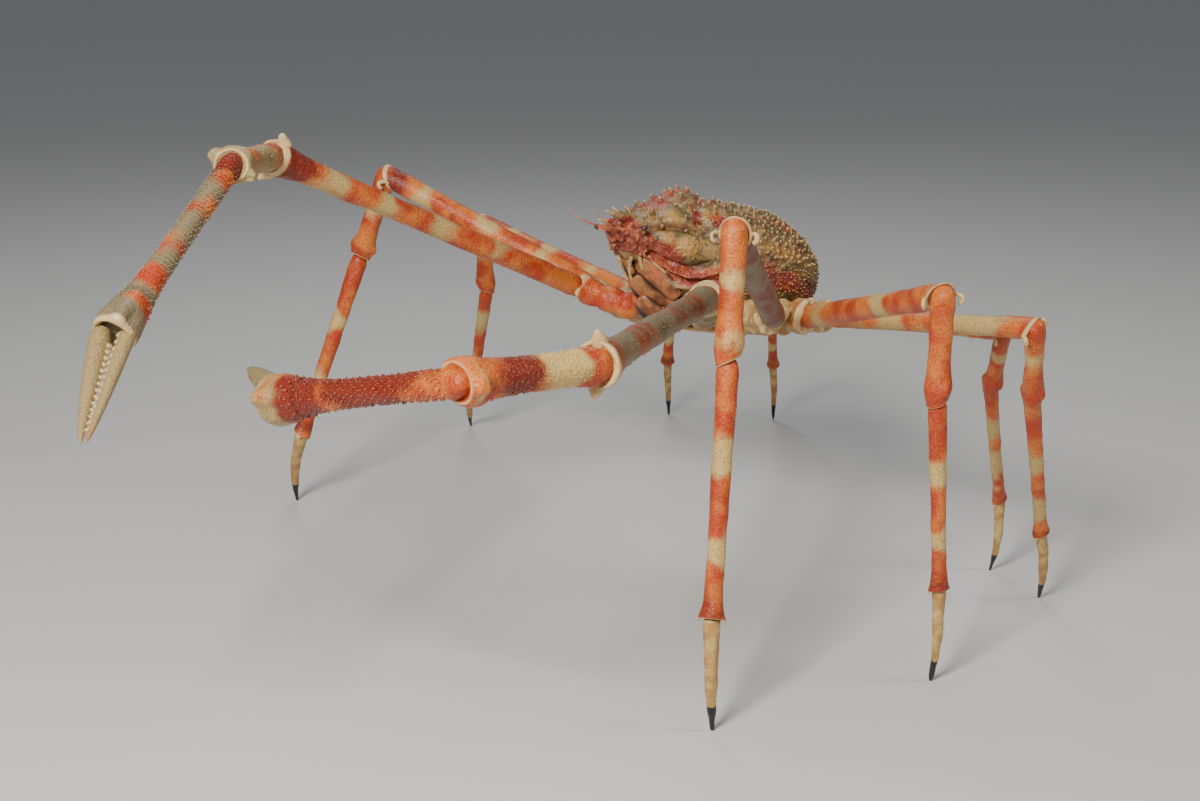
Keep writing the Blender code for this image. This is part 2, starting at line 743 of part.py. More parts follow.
def stand_on_floor(parts):
    """Hangs every part on one empty that puts the middle of the footprint at the origin."""
    corners = [piece.matrix_world @ vertex.co for piece in parts.objects for vertex in piece.data.vertices]
    middle_x = (min(c.x for c in corners) + max(c.x for c in corners)) / 2
    middle_y = (min(c.y for c in corners) + max(c.y for c in corners)) / 2
    stand = bpy.data.objects.new("crab", None)
    parts.objects.link(stand)
    stand.location = (-middle_x, -middle_y, -min(c.z for c in corners))
    for piece in parts.objects:
        if piece != stand:
            piece.parent = stand


def shade_round(parts):
    for piece in parts.objects:
        if piece.type == "MESH":
            piece.data.shade_smooth()
            piece.data.set_sharp_from_angle(angle=SHARP_ANGLE)


def paint(parts):
    for piece in parts.objects:
        for start, (colour, roughness) in FINISHES.items():
            if piece.type == "MESH" and piece.name.startswith(start):
                piece.data.materials.clear()
                piece.data.materials.append(material(piece.name + "_finish", colour, roughness))
                break


clear_scene()
parts = new_collection(COLLECTION)
body = body_matrix()
build_carapace(body, parts)
build_breastplate(body, parts)
build_abdomen(body, parts)
for side in (-1, 1):
    build_maxilliped(side, body, parts)
    letter = "L" if side > 0 else "R"
    parts.objects.link(eye_shape("eye_" + letter, side, body, 0))
    parts.objects.link(antenna_shape("antenna_" + letter, side, body, 0, len(ANTENNA_LINE)))
for limb in POSE:
    build_limb(limb, parts)
bpy.context.view_layer.update()
stand_on_floor(parts)
shade_round(parts)
paint(parts)
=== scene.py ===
import random
from math import atan2, cos, degrees, asin, exp, hypot, pi, radians, sin

import bmesh
import bpy
import numpy as np
from mathutils import Matrix, Vector, noise


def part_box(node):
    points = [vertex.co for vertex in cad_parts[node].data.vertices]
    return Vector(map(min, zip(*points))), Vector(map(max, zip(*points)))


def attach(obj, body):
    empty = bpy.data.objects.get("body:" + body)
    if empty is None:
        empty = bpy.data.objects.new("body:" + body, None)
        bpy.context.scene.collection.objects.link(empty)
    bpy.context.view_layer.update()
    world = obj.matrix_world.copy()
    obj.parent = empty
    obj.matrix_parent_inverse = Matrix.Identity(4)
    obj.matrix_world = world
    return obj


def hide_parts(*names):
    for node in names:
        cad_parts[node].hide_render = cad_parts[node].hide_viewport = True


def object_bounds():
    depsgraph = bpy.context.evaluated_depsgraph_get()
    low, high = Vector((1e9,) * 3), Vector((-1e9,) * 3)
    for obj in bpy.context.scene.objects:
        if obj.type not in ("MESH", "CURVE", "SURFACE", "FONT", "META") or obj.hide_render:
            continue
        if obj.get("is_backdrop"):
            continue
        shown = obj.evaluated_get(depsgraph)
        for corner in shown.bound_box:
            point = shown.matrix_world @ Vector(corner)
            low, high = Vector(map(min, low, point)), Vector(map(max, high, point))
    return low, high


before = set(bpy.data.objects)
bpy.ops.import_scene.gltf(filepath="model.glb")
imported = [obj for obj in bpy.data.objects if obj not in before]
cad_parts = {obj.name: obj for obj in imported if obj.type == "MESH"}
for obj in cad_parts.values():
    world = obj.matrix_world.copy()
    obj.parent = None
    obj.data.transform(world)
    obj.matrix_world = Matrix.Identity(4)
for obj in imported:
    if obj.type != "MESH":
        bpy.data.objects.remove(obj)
solid_low, solid_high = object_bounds()
bpy.ops.object.select_all(action="DESELECT")

# The place of the body: the middle of the trunk, 44 cm over the floor, nose up and its left
# side up. Points of the body are given as outward to the left, forward, and up.
NOSE_UP = 10
LEFT_UP = 7
PLATE_TO_BODY = Vector((-0.0108, -0.0155, 0.0814))
plate_low, plate_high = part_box("breastplate")
body_middle = (Vector(plate_low) + Vector(plate_high)) / 2 + PLATE_TO_BODY
body_tilt = Matrix.Rotation(radians(-NOSE_UP), 3, "X") @ Matrix.Rotation(radians(-LEFT_UP), 3, "Y")


def body_point(outward, forward, up):
    """The place in the room of a point of the body."""
    return body_middle + body_tilt @ Vector((outward, -forward, up))


# Camera, floor and studio light. The camera stands in front of the crab's left claw, a little
# above its back, and looks slightly down.
CAMERA_FROM_BODY = Vector((1.842, -1.519, 0.463))
CAMERA_AIM = Vector((-0.7777, 0.5676, -0.2701))
CAMERA_LENS = 54.0
FLOOR_HALF = 60.0
FLOOR_COLOUR = (0.62, 0.62, 0.61, 1)
STUDIO_AIR = (0.93, 0.95, 1.0, 1)
AIR_STRENGTH = 0.20
# Each lamp: place from the body, size, power, warmth
LAMPS = (
    (Vector((1.4, -2.2, 1.5)), 0.7, 118, (1.0, 0.96, 0.9)),
    (Vector((2.2, 1.2, 1.6)), 0.9, 20, (1.0, 0.97, 0.94)),
    (Vector((-1.8, 0.8, 2.2)), 1.2, 22, (0.94, 0.97, 1.0)),
)

camera_data = bpy.data.cameras.new("camera")
camera_data.lens = CAMERA_LENS
camera_data.sensor_width = 36
camera_data.clip_start = 0.05
camera = bpy.data.objects.new("camera", camera_data)
bpy.context.scene.collection.objects.link(camera)
camera.location = body_middle + CAMERA_FROM_BODY
camera.rotation_euler = CAMERA_AIM.to_track_quat("-Z", "Y").to_euler()
bpy.context.scene.camera = camera

for lamp_place, lamp_size, lamp_power, lamp_colour in LAMPS:
    bpy.ops.object.light_add(type="AREA", location=body_middle + lamp_place)
    lamp = bpy.context.object
    lamp.data.size = lamp_size
    lamp.data.energy = lamp_power
    lamp.data.color = lamp_colour
    lamp.rotation_euler = (-lamp_place).to_track_quat("-Z", "Y").to_euler()
bpy.ops.object.select_all(action="DESELECT")

world = bpy.data.worlds.new("studio")
world.use_nodes = True
world.node_tree.nodes["Background"].inputs["Color"].default_value = STUDIO_AIR
world.node_tree.nodes["Background"].inputs["Strength"].default_value = AIR_STRENGTH
bpy.context.scene.world = world

bpy.ops.mesh.primitive_plane_add(size=2 * FLOOR_HALF)
floor = bpy.context.object
floor.name = "studio_floor"
floor_paint = bpy.data.materials.new("studio_floor")
floor_paint.use_nodes = True
floor_paint.node_tree.nodes["Principled BSDF"].inputs["Base Color"].default_value = FLOOR_COLOUR
floor_paint.node_tree.nodes["Principled BSDF"].inputs["Roughness"].default_value = 0.8
floor.data.materials.append(floor_paint)
floor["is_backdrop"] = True
bpy.ops.object.select_all(action="DESELECT")


# The shell's finish: a mottled horny crust over every plate and limb. Shader maths is written
# as expressions on wrapped sockets.
class Wire:
    """A socket in a material's node tree, with arithmetic that adds Math nodes."""

    def __init__(self, tree, socket):
        self.tree = tree
        self.socket = socket

    def node(self, kind, settings=None, **inputs):
        """A new node; an input named _2 is the socket of that number."""
        made = self.tree.nodes.new(kind)
        for name, value in (settings or {}).items():
            setattr(made, name, value)
        for name, value in inputs.items():
            key = int(name[1:]) if name[0] == "_" else name.replace("_", " ")
            if isinstance(value, Wire):
                self.tree.links.new(value.socket, made.inputs[key])
            else:
                made.inputs[key].default_value = value
        return made

    def out(self, kind, settings=None, output=0, **inputs):
        """One output of a new node."""
        return Wire(self.tree, self.node(kind, settings, **inputs).outputs[output])

    def maths(self, operation, *values):
        """A Math node on wires and numbers."""
        inputs = {"_%d" % k: value for k, value in enumerate(values)}
        return self.out("ShaderNodeMath", {"operation": operation}, **inputs)

    def __add__(self, other):
        return self.maths("ADD", self, other)

    def __radd__(self, other):
        return self.maths("ADD", other, self)

    def __sub__(self, other):
        return self.maths("SUBTRACT", self, other)

    def __rsub__(self, other):
        return self.maths("SUBTRACT", other, self)

    def __mul__(self, other):
        return self.maths("MULTIPLY", self, other)

    def __rmul__(self, other):
        return self.maths("MULTIPLY", other, self)

    def step(self, low, high):
        """0 below low, 1 above high, smooth between."""
        settings = {"interpolation_type": "SMOOTHSTEP"}
        return self.out("ShaderNodeMapRange", settings, _0=self, _1=low, _2=high, _3=0.0, _4=1.0)

    def blend(self, first, second):
        """First colour where this is 0, second where it is 1."""
        return self.out("ShaderNodeMix", {"data_type": "RGBA"}, 2, _0=self, _6=first, _7=second)

    def noise(self, scale, detail):
        """Noise over the object's own coordinates."""
        place = self.out("ShaderNodeTexCoord", output=3)
        return self.out("ShaderNodeTexNoise", Vector=place, Scale=scale, Detail=detail)

    def cells(self, scale):
        """Distance to the middle of the nearest cell, over the object's own coordinates."""
        place = self.out("ShaderNodeTexCoord", output=3)
        return self.out("ShaderNodeTexVoronoi", Vector=place, Scale=scale)

    def mark(self, name):
        """A number painted on the points of the piece."""
        return self.out("ShaderNodeAttribute", {"attribute_name": name}, 2)


def new_finish(name):
    """A material and the wire of its shader, which starts every expression."""
    finish = bpy.data.materials.new(name)
    finish.use_nodes = True
    shader = finish.node_tree.nodes["Principled BSDF"]
    return finish, shader, Wire(finish.node_tree, shader.outputs[0])


def join_to(shader, name, wire):
    """Feeds one socket of a shader."""
    wire.tree.links.new(wire.socket, shader.inputs[name])


def roughen_finish(shader, wire, roughness, height, strength, distance):
    """Sets how rough a finish is and the bump of its surface."""
    join_to(shader, "Roughness", roughness)
    bump = wire.out("ShaderNodeBump", Height=height, Strength=strength, Distance=distance)
    join_to(shader, "Normal", bump)


def rgb(red, green, blue):
    """An opaque colour."""
    return (red, green, blue, 1)


# Limb shell: orange red with ragged cream bands, crimson by the joints, fine dark stipples and
# pale grains, and an ivory edge at every joint. The tips are tan horn with a black point. The
# crimson also paints shade in the folds of the coxae and, with the grey cream, over the whole
# merus of the second left leg.
SHELL_RED = rgb(0.42, 0.042, 0.008)
SHELL_ORANGE = rgb(0.60, 0.155, 0.022)
SHELL_CRIMSON = rgb(0.18, 0.016, 0.007)
SHELL_CREAM = rgb(0.60, 0.42, 0.14)
SHELL_GREY = rgb(0.20, 0.165, 0.088)
SHELL_STIPPLE = rgb(0.20, 0.014, 0.008)
IVORY = rgb(0.58, 0.41, 0.19)
HORN_TAN = rgb(0.38, 0.20, 0.055)
HORN_DARK = rgb(0.22, 0.10, 0.035)
TIP_BLACK = rgb(0.010, 0.009, 0.012)
# Fine rings round the palms: their spacing in palm radii and their number
RING_SPACING = 0.34
RINGS_END = 40
SHELL_SHEEN = 0.36


def limb_finish():
    """The shell of the limbs."""
    finish, shader, wire = new_finish("limb_shell")
    shader.inputs["Specular IOR Level"].default_value = SHELL_SHEEN
    colour = wire.noise(26.0, 5.0).step(0.38, 0.60).blend(SHELL_ORANGE, SHELL_RED)
    deep = (wire.mark("deep") + (wire.noise(44.0, 4.0) - 0.5) * 0.7).step(0.30, 0.75)
    colour = deep.blend(colour, SHELL_CRIMSON)
    cream = wire.mark("grey").blend(SHELL_CREAM, SHELL_GREY)
    ragged = wire.mark("pale") + (wire.noise(40.0, 6.0) - 0.5) * 1.0
    colour = ragged.step(0.30, 0.82).blend(colour, cream)
    grains = wire.noise(460.0, 2.0)
    colour = (grains.step(0.54, 0.66) * 0.55).blend(colour, SHELL_STIPPLE)
    colour = (grains.step(0.44, 0.32) * 0.22).blend(colour, cream)
    colour = wire.mark("rim").step(0.25, 0.75).blend(colour, IVORY)
    join_to(shader, "Base Color", colour)
    rings = wire.maths("SINE", wire.mark("rings") * (2 * pi / RING_SPACING))
    height = wire.noise(150.0, 4.0) * 0.6 + wire.cells(300.0) * 0.6 + rings * 0.22
    roughen_finish(shader, wire, wire.noise(90.0, 3.0) * 0.25 + 0.33, height, 0.6, 0.0016)
    return finish


def tip_finish():
    """The horn of the walking legs' tips."""
    finish, shader, wire = new_finish("leg_tip_horn")
    colour = wire.noise(60.0, 5.0).step(0.38, 0.68).blend(HORN_TAN, SHELL_CREAM)
    colour = (wire.noise(380.0, 2.0).step(0.54, 0.66) * 0.5).blend(colour, HORN_DARK)
    black = (wire.mark("tip") + (wire.noise(90.0, 4.0) - 0.5) * 0.10).step(0.49, 0.52)
    colour = black.blend(colour, TIP_BLACK)
    join_to(shader, "Base Color", colour)
    roughen_finish(shader, wire, 0.46 - black * 0.14, wire.noise(160.0, 4.0), 0.4, 0.0012)
    return finish


limb_paint = limb_finish()
tip_paint = tip_finish()

# Forms of the limb segments, each drawn out of a disc in steps along +Z, in units of its own
# radius. The end facing the next joint flares into a lip that leans over the joint.
SIDES = 16


def look_at(piece):
    """Makes one piece the only selected and the active one."""
    bpy.ops.object.select_all(action="DESELECT")
    piece.select_set(True)
    bpy.context.view_layer.objects.active = piece


def pick_faces(piece, wanted):
    """In edit mode, selects the faces whose middle the test says yes to."""
    bpy.ops.mesh.select_mode(type="FACE")
    bpy.ops.mesh.select_all(action="DESELECT")
    mesh = bmesh.from_edit_mesh(piece.data)
    for face in mesh.faces:
        if wanted(face.calc_center_median()):
            face.select_set(True)
    mesh.select_flush_mode()
    bmesh.update_edit_mesh(piece.data)


def drawn_form(name, steps, sides=SIDES):
    """A closed tube through rings: place along, radius, lean in degrees (0) and sideways shift (0)."""
    steps = [(*step, 0, 0)[:4] for step in steps]
    along, radius, lean, shift = steps[0]
    bpy.ops.mesh.primitive_circle_add(vertices=sides, radius=radius, fill_type="NGON", location=(0, 0, 0))
    form = bpy.context.object
    form.name = name
    bpy.ops.object.mode_set(mode="EDIT")
    bpy.ops.mesh.select_all(action="SELECT")
    bpy.ops.transform.translate(value=(0, shift, along))
    for step in steps[1:]:
        move = (0, step[3] - shift, step[0] - along)
        bpy.ops.mesh.extrude_region_move(TRANSFORM_OT_translate={"value": move})
        grow = step[1] / radius
        bpy.ops.transform.resize(value=(grow, grow, grow))
        if step[2] != lean:
            turn = radians(step[2] - lean)
            bpy.ops.transform.rotate(value=-turn, orient_axis="X", center_override=(0, step[3], step[0]))
        along, radius, lean, shift = step
    bpy.ops.mesh.select_all(action="SELECT")
    bpy.ops.mesh.normals_make_consistent(inside=False)
    bpy.ops.object.mode_set(mode="OBJECT")
    return form


def pull_lobes(form, out, across, low, high, pulls):
    """Draws a lobe out of each side of a form, in pulls of outward, along and size, from the faces
    further out than out, within across of the middle, and between two levels."""
    for side in (-1, 1):
        look_at(form)
        bpy.ops.object.mode_set(mode="EDIT")
        pick_faces(form, lambda p: side * p.x > out and abs(p.y) < across and low < p.z < high)
        for outward, along, size in pulls:
            move = (side * outward, 0, along)
            bpy.ops.mesh.extrude_region_move(TRANSFORM_OT_translate={"value": move})
            bpy.ops.transform.resize(value=(size, size, size))
        bpy.ops.object.mode_set(mode="OBJECT")


def soften(form, levels=2):
    """Rounds a form by subdivision and applies it."""
    look_at(form)
    rounding = form.modifiers.new("rounding", "SUBSURF")
    rounding.levels = levels
    rounding.render_levels = levels
    bpy.ops.object.modifier_apply(modifier=rounding.name)


# Each form: its length, its rings, the ivory edge of its lip, and the lobes at its sides
LEG_SHAPES = {
    "coxa": (
        4.0,
        (
            (-0.5, 0.7), (-0.1, 1.02), (0.25, 1.24), (0.55, 1.26), (0.85, 1.08, 4), (1.05, 1.04, 6),
            (1.3, 1.16, 8), (1.7, 1.24, 6), (2.1, 1.18, 4), (2.35, 1.02), (2.55, 1.02), (2.8, 1.16, -4),
            (3.3, 1.22, -8), (3.7, 1.28, -10), (3.95, 1.26, -12), (4.05, 1.14, -12), (3.9, 0.9, -8),
        ),
        (3.85, -10, 0.2), (1.0, 0.6, 3.2, 4.0, ((0.22, 0.02, 0.8), (0.14, 0.08, 0.7))),
    ),
    "merus": (
        25.0,
        (
            (-0.6, 0.55), (-0.35, 0.92), (0.2, 1.03), (1.2, 1.06), (3.5, 1.04), (8.0, 0.99), (14.0, 0.95),
            (19.0, 0.96), (21.6, 1.01, 4), (22.9, 1.08, 14), (23.8, 1.1, 26), (24.3, 1.18, 36),
            (24.62, 1.25, 38), (24.8, 1.18, 38), (24.72, 1.04, 38), (24.5, 0.94, 38), (24.35, 0.76, 38),
            (24.25, 0.4, 38),
        ),
        (24.36, 38, 0.12), None,
    ),
    "carpus": (
        10.0,
        (
            (-0.98, 0.22), (-0.82, 0.6), (-0.45, 0.93), (0.1, 1.05), (0.9, 1.05), (2.4, 1.0), (4.6, 0.95),
            (6.6, 0.99), (7.7, 1.12, 4), (8.4, 1.24, 10), (8.9, 1.2, 18), (9.35, 1.08, 25),
            (9.62, 1.07, 28), (9.72, 1.0, 28), (9.5, 0.9, 26), (8.9, 0.55, 16),
        ),
        (9.62, 28, 0.05), (1.0, 0.5, 7.9, 9.0, ((0.16, 0.04, 0.75), (0.08, 0.08, 0.55))),
    ),
    "propodus": (
        23.0,
        (
            (-0.75, 0.6), (-0.35, 0.9), (0.2, 1.04), (0.9, 1.07), (2.2, 1.02), (6.5, 0.96), (12.0, 0.88),
            (17.5, 0.84), (20.4, 0.88, 2), (21.7, 1.0, 6), (22.5, 1.16, 12), (22.85, 1.18, 14),
            (22.95, 1.08, 14), (22.7, 0.92, 12), (21.9, 0.55, 6),
        ),
        (22.88, 14, 0.06), (0.9, 0.5, 22.2, 23.0, ((0.14, 0.16, 0.8), (0.08, 0.3, 0.6))),
    ),
    "dactylus": (
        15.0,
        (
            (-0.5, 0.45), (-0.25, 0.85), (0.15, 1.03), (0.9, 0.99, 0, 0.08), (2.4, 0.92, 0, 0.3),
            (4.8, 0.86, 0, 0.6), (7.4, 0.78, 0, 0.75), (9.8, 0.66, 0, 0.7), (11.6, 0.55, 0, 0.52),
            (13.4, 0.4, 0, 0.26), (14.8, 0.24, 0, 0.03), (15.15, 0.13),
        ),
        None, None,
    ),
}


def points_of(piece):
    """The piece's points as an array, one row each."""
    flat = np.empty(len(piece.data.vertices) * 3)
    piece.data.vertices.foreach_get("co", flat)
    return flat.reshape(-1, 3)


def ways_of(piece):
    """The way out at each of the piece's points."""
    return np.array([point.normal for point in piece.data.vertices])


def set_points(piece, points):
    """Moves the piece's points to the rows of an array."""
    piece.data.vertices.foreach_set("co", points.ravel())
    piece.data.update()


def write_marks(piece, marks):
    """Paints numbers on the points of a piece, one array for each name."""
    for name, values in marks.items():
        mark = piece.data.attributes.get(name) or piece.data.attributes.new(name, "FLOAT", "POINT")
        mark.data.foreach_set("value", np.ascontiguousarray(values, dtype=np.float32))


def paint_rim(form, rim):
    """Marks the ivory edge of a form: past a level, which leans over, and how soft it starts."""
    level, lean, soft = rim
    points = points_of(form)
    past = points[:, 2] - level - points[:, 1] * sin(radians(lean)) / cos(radians(lean))
    write_marks(form, {"rim": np.clip(past / soft + 1, 0, 1)})


def limb_forms(kind, shapes):
    """The softened forms of one kind of limb, with their lengths."""
    forms = {}
    for label, (length, steps, rim, lobes) in shapes.items():
        form = drawn_form("%s_%s_form" % (kind, label), steps)
        if lobes:
            pull_lobes(form, *lobes)
        soften(form)
        if rim:
            paint_rim(form, rim)
        forms[label] = (form, length)
    return forms


leg_forms = limb_forms("leg", LEG_SHAPES)

# The knee's condyles: an ivory hook curls out of the lip on each side of the next segment's
# head. On the claw limbs it is a stout pointed horn.
HOOK_STEPS = ((0.0, 0.75), (0.15, 0.9), (0.4, 1.0), (0.65, 0.88), (0.85, 1.05), (0.96, 0.85), (1.0, 0.4))
KNEE_HOOK = (
    (0.95, 0.08, 24.15), (1.26, 0.0, 24.62), (1.54, 0.2, 24.95), (1.56, 0.52, 24.85), (1.32, 0.72, 24.6),
)
CLAW_HORN = ((1.1, 0.0, 30.95), (1.45, 0.0, 31.2), (1.78, 0.02, 31.45), (2.08, 0.06, 31.62))
HOOK_RADIUS = 0.21
CLAW_HORN_RADIUS = 0.50
HOOK_WAY = (0, 0.4, 1)
CURVE_REACH = 0.02
CLAW_HORN_STEPS = ((0.0, 1.3), (0.2, 1.2), (0.45, 0.92), (0.7, 0.62), (0.9, 0.36), (1.0, 0.1))


def curve_point(line, share):
    """A point of the smooth curve through a line of points, 0 at its start and 1 at its end."""
    share = min(max(share, 0), 1) * (len(line) - 1)
    k = min(int(share), len(line) - 2)
    part = share - k
    before, start, end, after = line[max(k - 1, 0)], line[k], line[k + 1], line[min(k + 2, len(line) - 1)]
    bend = (2 * before - 5 * start + 4 * end - after) * part ** 2
    bend += (3 * start - before - 3 * end + after) * part ** 3
    return start + ((end - before) * part + bend) / 2


def add_piece(name, mesh):
    """A new piece with a mesh of its own."""
    piece = bpy.data.objects.new(name, mesh)
    bpy.context.scene.collection.objects.link(piece)
    return piece


def laid(form, name, line, out, width, thickness, side=1):
    """A copy of a unit form bent along a line of points, its +Y side facing the way out."""
    line = [Vector((side * outward, -forward, up)) for outward, forward, up in line]
    out = Vector((side * out[0], -out[1], out[2]))
    piece = add_piece(name, form.data.copy())
    length = sum((end - start).length for start, end in zip(line, line[1:]))
    for point in piece.data.vertices:
        share = point.co.z
        ahead = curve_point(line, share + CURVE_REACH)
        along = (ahead - curve_point(line, share - CURVE_REACH)).normalized()
        across = out.cross(along).normalized()
        over = along.cross(across)
        past = (share - min(max(share, 0), 1)) * length
        offset = across * point.co.x * width + over * point.co.y * thickness + along * past
        point.co = curve_point(line, share) + offset
    return piece


def add_hooks(form, shape, line, radius):
    """Joins a hook on each side into a form and marks it ivory."""
    for side in (-1, 1):
        hook = laid(shape, "hook", line, HOOK_WAY, radius, radius, side)
        write_marks(hook, {"rim": np.ones(len(hook.data.vertices))})
        look_at(form)
        hook.select_set(True)
        bpy.ops.object.join()


hook_form = drawn_form("hook_form", HOOK_STEPS, 8)
claw_horn_form = drawn_form("claw_horn_form", CLAW_HORN_STEPS, 8)
soften(hook_form, 1)
soften(claw_horn_form, 1)

# Claw limbs: a long merus whose end carries two stout horns, a carpus and a palm that end in
# thick collars, and two fingers that close on rows of white teeth.
CLAW_SHAPES = {
    "merus": (
        31.5,
        (
            (-0.6, 0.55), (-0.35, 0.92), (0.2, 1.03), (1.2, 1.06), (4.0, 1.03), (10.0, 0.98),
            (18.0, 0.96), (25.0, 1.0), (28.6, 1.1), (30.0, 1.28, 6), (30.8, 1.46, 10), (31.3, 1.52, 12),
            (31.55, 1.46, 12), (31.6, 1.3, 12), (31.4, 1.14, 12), (31.2, 0.9, 12), (31.1, 0.45, 12),
        ),
        (31.35, 12, 0.4), None,
    ),
    "carpus": (
        9.7,
        (
            (-0.9, 0.3), (-0.7, 0.75), (-0.2, 1.02), (0.5, 1.1), (1.6, 1.05), (4.0, 0.96), (6.4, 1.0),
            (7.9, 1.14, 4), (8.7, 1.34, 8), (9.2, 1.44, 12), (9.5, 1.42, 12), (9.75, 1.28, 12),
            (9.82, 1.12, 12), (9.7, 0.98, 12), (9.62, 0.8, 12), (9.5, 0.45, 12),
        ),
        (9.85, 12, 0.16), (1.0, 0.7, 8.8, 9.6, ((0.26, 0.05, 0.8), (0.22, 0.12, 0.66))),
    ),
    "propodus": (
        16.7,
        (
            (-0.9, 0.3), (-0.7, 0.62), (-0.2, 0.84), (0.6, 0.88), (2.0, 0.86), (5.0, 0.83), (9.0, 0.86),
            (12.2, 0.98), (13.8, 1.22), (15.0, 1.52), (15.9, 1.68), (16.6, 1.64), (16.95, 1.44),
            (16.7, 1.22), (15.9, 0.9),
        ),
        (16.75, 0, 0.4), (1.2, 0.8, 15.2, 16.8, ((0.26, 0.1, 0.8), (0.18, 0.16, 0.6))),
    ),
}
FINGER_STEPS = (
    (-0.6, 0.6, 0, 0.9), (-0.2, 0.92, 0, 1.0), (0.5, 1.02, 0, 1.03), (2.0, 0.99, 0, 1.0),
    (4.0, 0.9, 0, 0.91), (6.5, 0.76, 0, 0.78), (9.0, 0.6, 0, 0.62), (11.2, 0.42, 0, 0.44),
    (12.6, 0.25, 0, 0.27), (13.0, 0.13, 0, 0.18),
)
FINGER_LENGTH = 13.0

claw_forms = {"coxa": leg_forms["coxa"], **limb_forms("claw", CLAW_SHAPES)}
finger_form = drawn_form("finger_form", FINGER_STEPS)
soften(finger_form)

# Tubercles of the claw limbs: small blunt cones in staggered rings, each claw limb segment's
# joined into one mesh, and the rows of white teeth on the fingers.
TUBERCLE_STEPS = ((-0.5, 1.0), (0.0, 0.85), (0.45, 0.55), (0.85, 0.3), (1.0, 0.08))
TUBERCLE_SEED = 7
TUBERCLE_STRAY = 0.18
TUBERCLE_GROWTH = (0.6, 1.25)
TUBERCLE_LEAN = 0.3
LEVEL_STRAY = (-0.03, 0.03)
# Each: first and last place along as shares of the length, rings, number around, radius, height
CLAW_TUBERCLES = {
    "merus": (0.04, 0.86, 30, 8, 0.045, 0.05),
    "carpus": (0.1, 0.84, 20, 11, 0.05, 0.06),
    "propodus": (0.04, 0.86, 41, 14, 0.07, 0.115),
}
TEETH = 14
TEETH_SPAN = (1.6, 11.6)
TEETH_SIZE = (0.44, 0.2)
TEETH_HEIGHT = 0.40
TEETH_SINK = 0.97
# Where the pale tip of a small cone starts, as a share of its height, and how fast it fades in
PALE_FROM = 0.4
PALE_GAIN = 1.5


def cluster(name, form, stands):
    """One mesh of many copies of a small form, each on its place, pointing its own way."""
    shape = points_of(form)
    faces = [tuple(face.vertices) for face in form.data.polygons]
    points = []
    corners = []
    for place, way, radius, height in stands:
        turn = np.array(Vector(way).normalized().to_track_quat("Z", "Y").to_matrix())
        first = len(points) * len(shape)
        points.append(shape * np.array((radius, radius, height)) @ turn.T + np.array(place))
        corners += [tuple(first + k for k in face) for face in faces]
    mesh = bpy.data.meshes.new(name)
    mesh.from_pydata(np.vstack(points).tolist(), [], corners)
    piece = add_piece(name, mesh)
    paleness = np.clip((shape[:, 2] - PALE_FROM) * PALE_GAIN, 0, 1)
    write_marks(piece, {"rim": np.tile(paleness, len(stands))})
    return piece


def tubercle_rings(shape, plan):
    """Rings of tubercles round a form, in the form's own units."""
    length, steps, _, _ = shape
    first, last, rings, around, radius, height = plan
    rising = [step for step, after in zip(steps, steps[1:]) if after[0] > step[0]]
    stands = []
    for k in range(rings):
        level = length * (first + (last - first) * k / (rings - 1))
        girth = np.interp(level, [step[0] for step in rising], [step[1] for step in rising])
        for m in range(around):
            stray = chance.uniform(-TUBERCLE_STRAY, TUBERCLE_STRAY)
            turn = 2 * pi * (m + 0.5 * (k % 2) + stray) / around
            grow = chance.uniform(*TUBERCLE_GROWTH)
            place = (girth * cos(turn), girth * sin(turn), level + chance.uniform(*LEVEL_STRAY))
            stands.append((place, (cos(turn), sin(turn), TUBERCLE_LEAN), radius * grow, height * grow))
    return cluster("tubercles", tubercle_form, stands)


chance = random.Random(TUBERCLE_SEED)
tubercle_form = drawn_form("tubercle_form", TUBERCLE_STEPS, 6)
claw_tubercles = {}
for label, plan in CLAW_TUBERCLES.items():
    claw_tubercles[label] = tubercle_rings(CLAW_SHAPES[label], plan)
levels, girths, _, shifts = zip(*FINGER_STEPS)
teeth_stands = []
for k in range(TEETH):
    share = k / (TEETH - 1)
    level = TEETH_SPAN[0] + (TEETH_SPAN[1] - TEETH_SPAN[0]) * share
    size = TEETH_SIZE[0] + (TEETH_SIZE[1] - TEETH_SIZE[0]) * share
    girth = np.interp(level, levels, girths)
    middle = np.interp(level, levels, shifts)
    teeth_stands.append(((0, middle - girth * TEETH_SINK, level), (0, -1, 0), size, TEETH_HEIGHT))
finger_teeth = cluster("finger_teeth", tubercle_form, teeth_stands)
write_marks(finger_teeth, {"rim": np.ones(len(finger_teeth.data.vertices))})

# The ten limbs' joints: each limb is a chain of merus, carpus, propodus and dactylus from its
# hip, every segment at a heading from straight outward towards the front, and a rise. A walking
# leg's merus rises so that the tip stands on the floor.
ROOT_DROP = -0.080
COXA_ROOTS = {1: (0.075, 0.058), 2: (0.09, 0.012), 3: (0.088, -0.03), 4: (0.078, -0.068), 5: (0.06, -0.1)}
HIPS = {
    1: (0.133, 0.105, -0.058),
    2: (0.158, 0.013, -0.076),
    3: (0.161, -0.046, -0.074),
    4: (0.144, -0.098, -0.073),
    5: (0.109, -0.14, -0.072),
}
LENGTHS = {
    1: (0.535, 0.175, 0.275, 0.15),
    2: (0.385, 0.145, 0.28, 0.139),
    3: (0.385, 0.128, 0.236, 0.126),
    4: (0.345, 0.127, 0.222, 0.124),
    5: (0.292, 0.12, 0.217, 0.117),
}
RADII = {
    1: (0.0155, 0.0185, 0.017, 0.018, 0.0165, 0.01),
    2: (0.016, 0.0185, 0.0155, 0.0145, 0.0122, 0.0098),
    3: (0.0158, 0.018, 0.015, 0.0134, 0.0104, 0.0082),
    4: (0.0145, 0.0165, 0.0132, 0.0118, 0.01, 0.0078),
    5: (0.013, 0.015, 0.012, 0.0105, 0.0092, 0.0074),
}
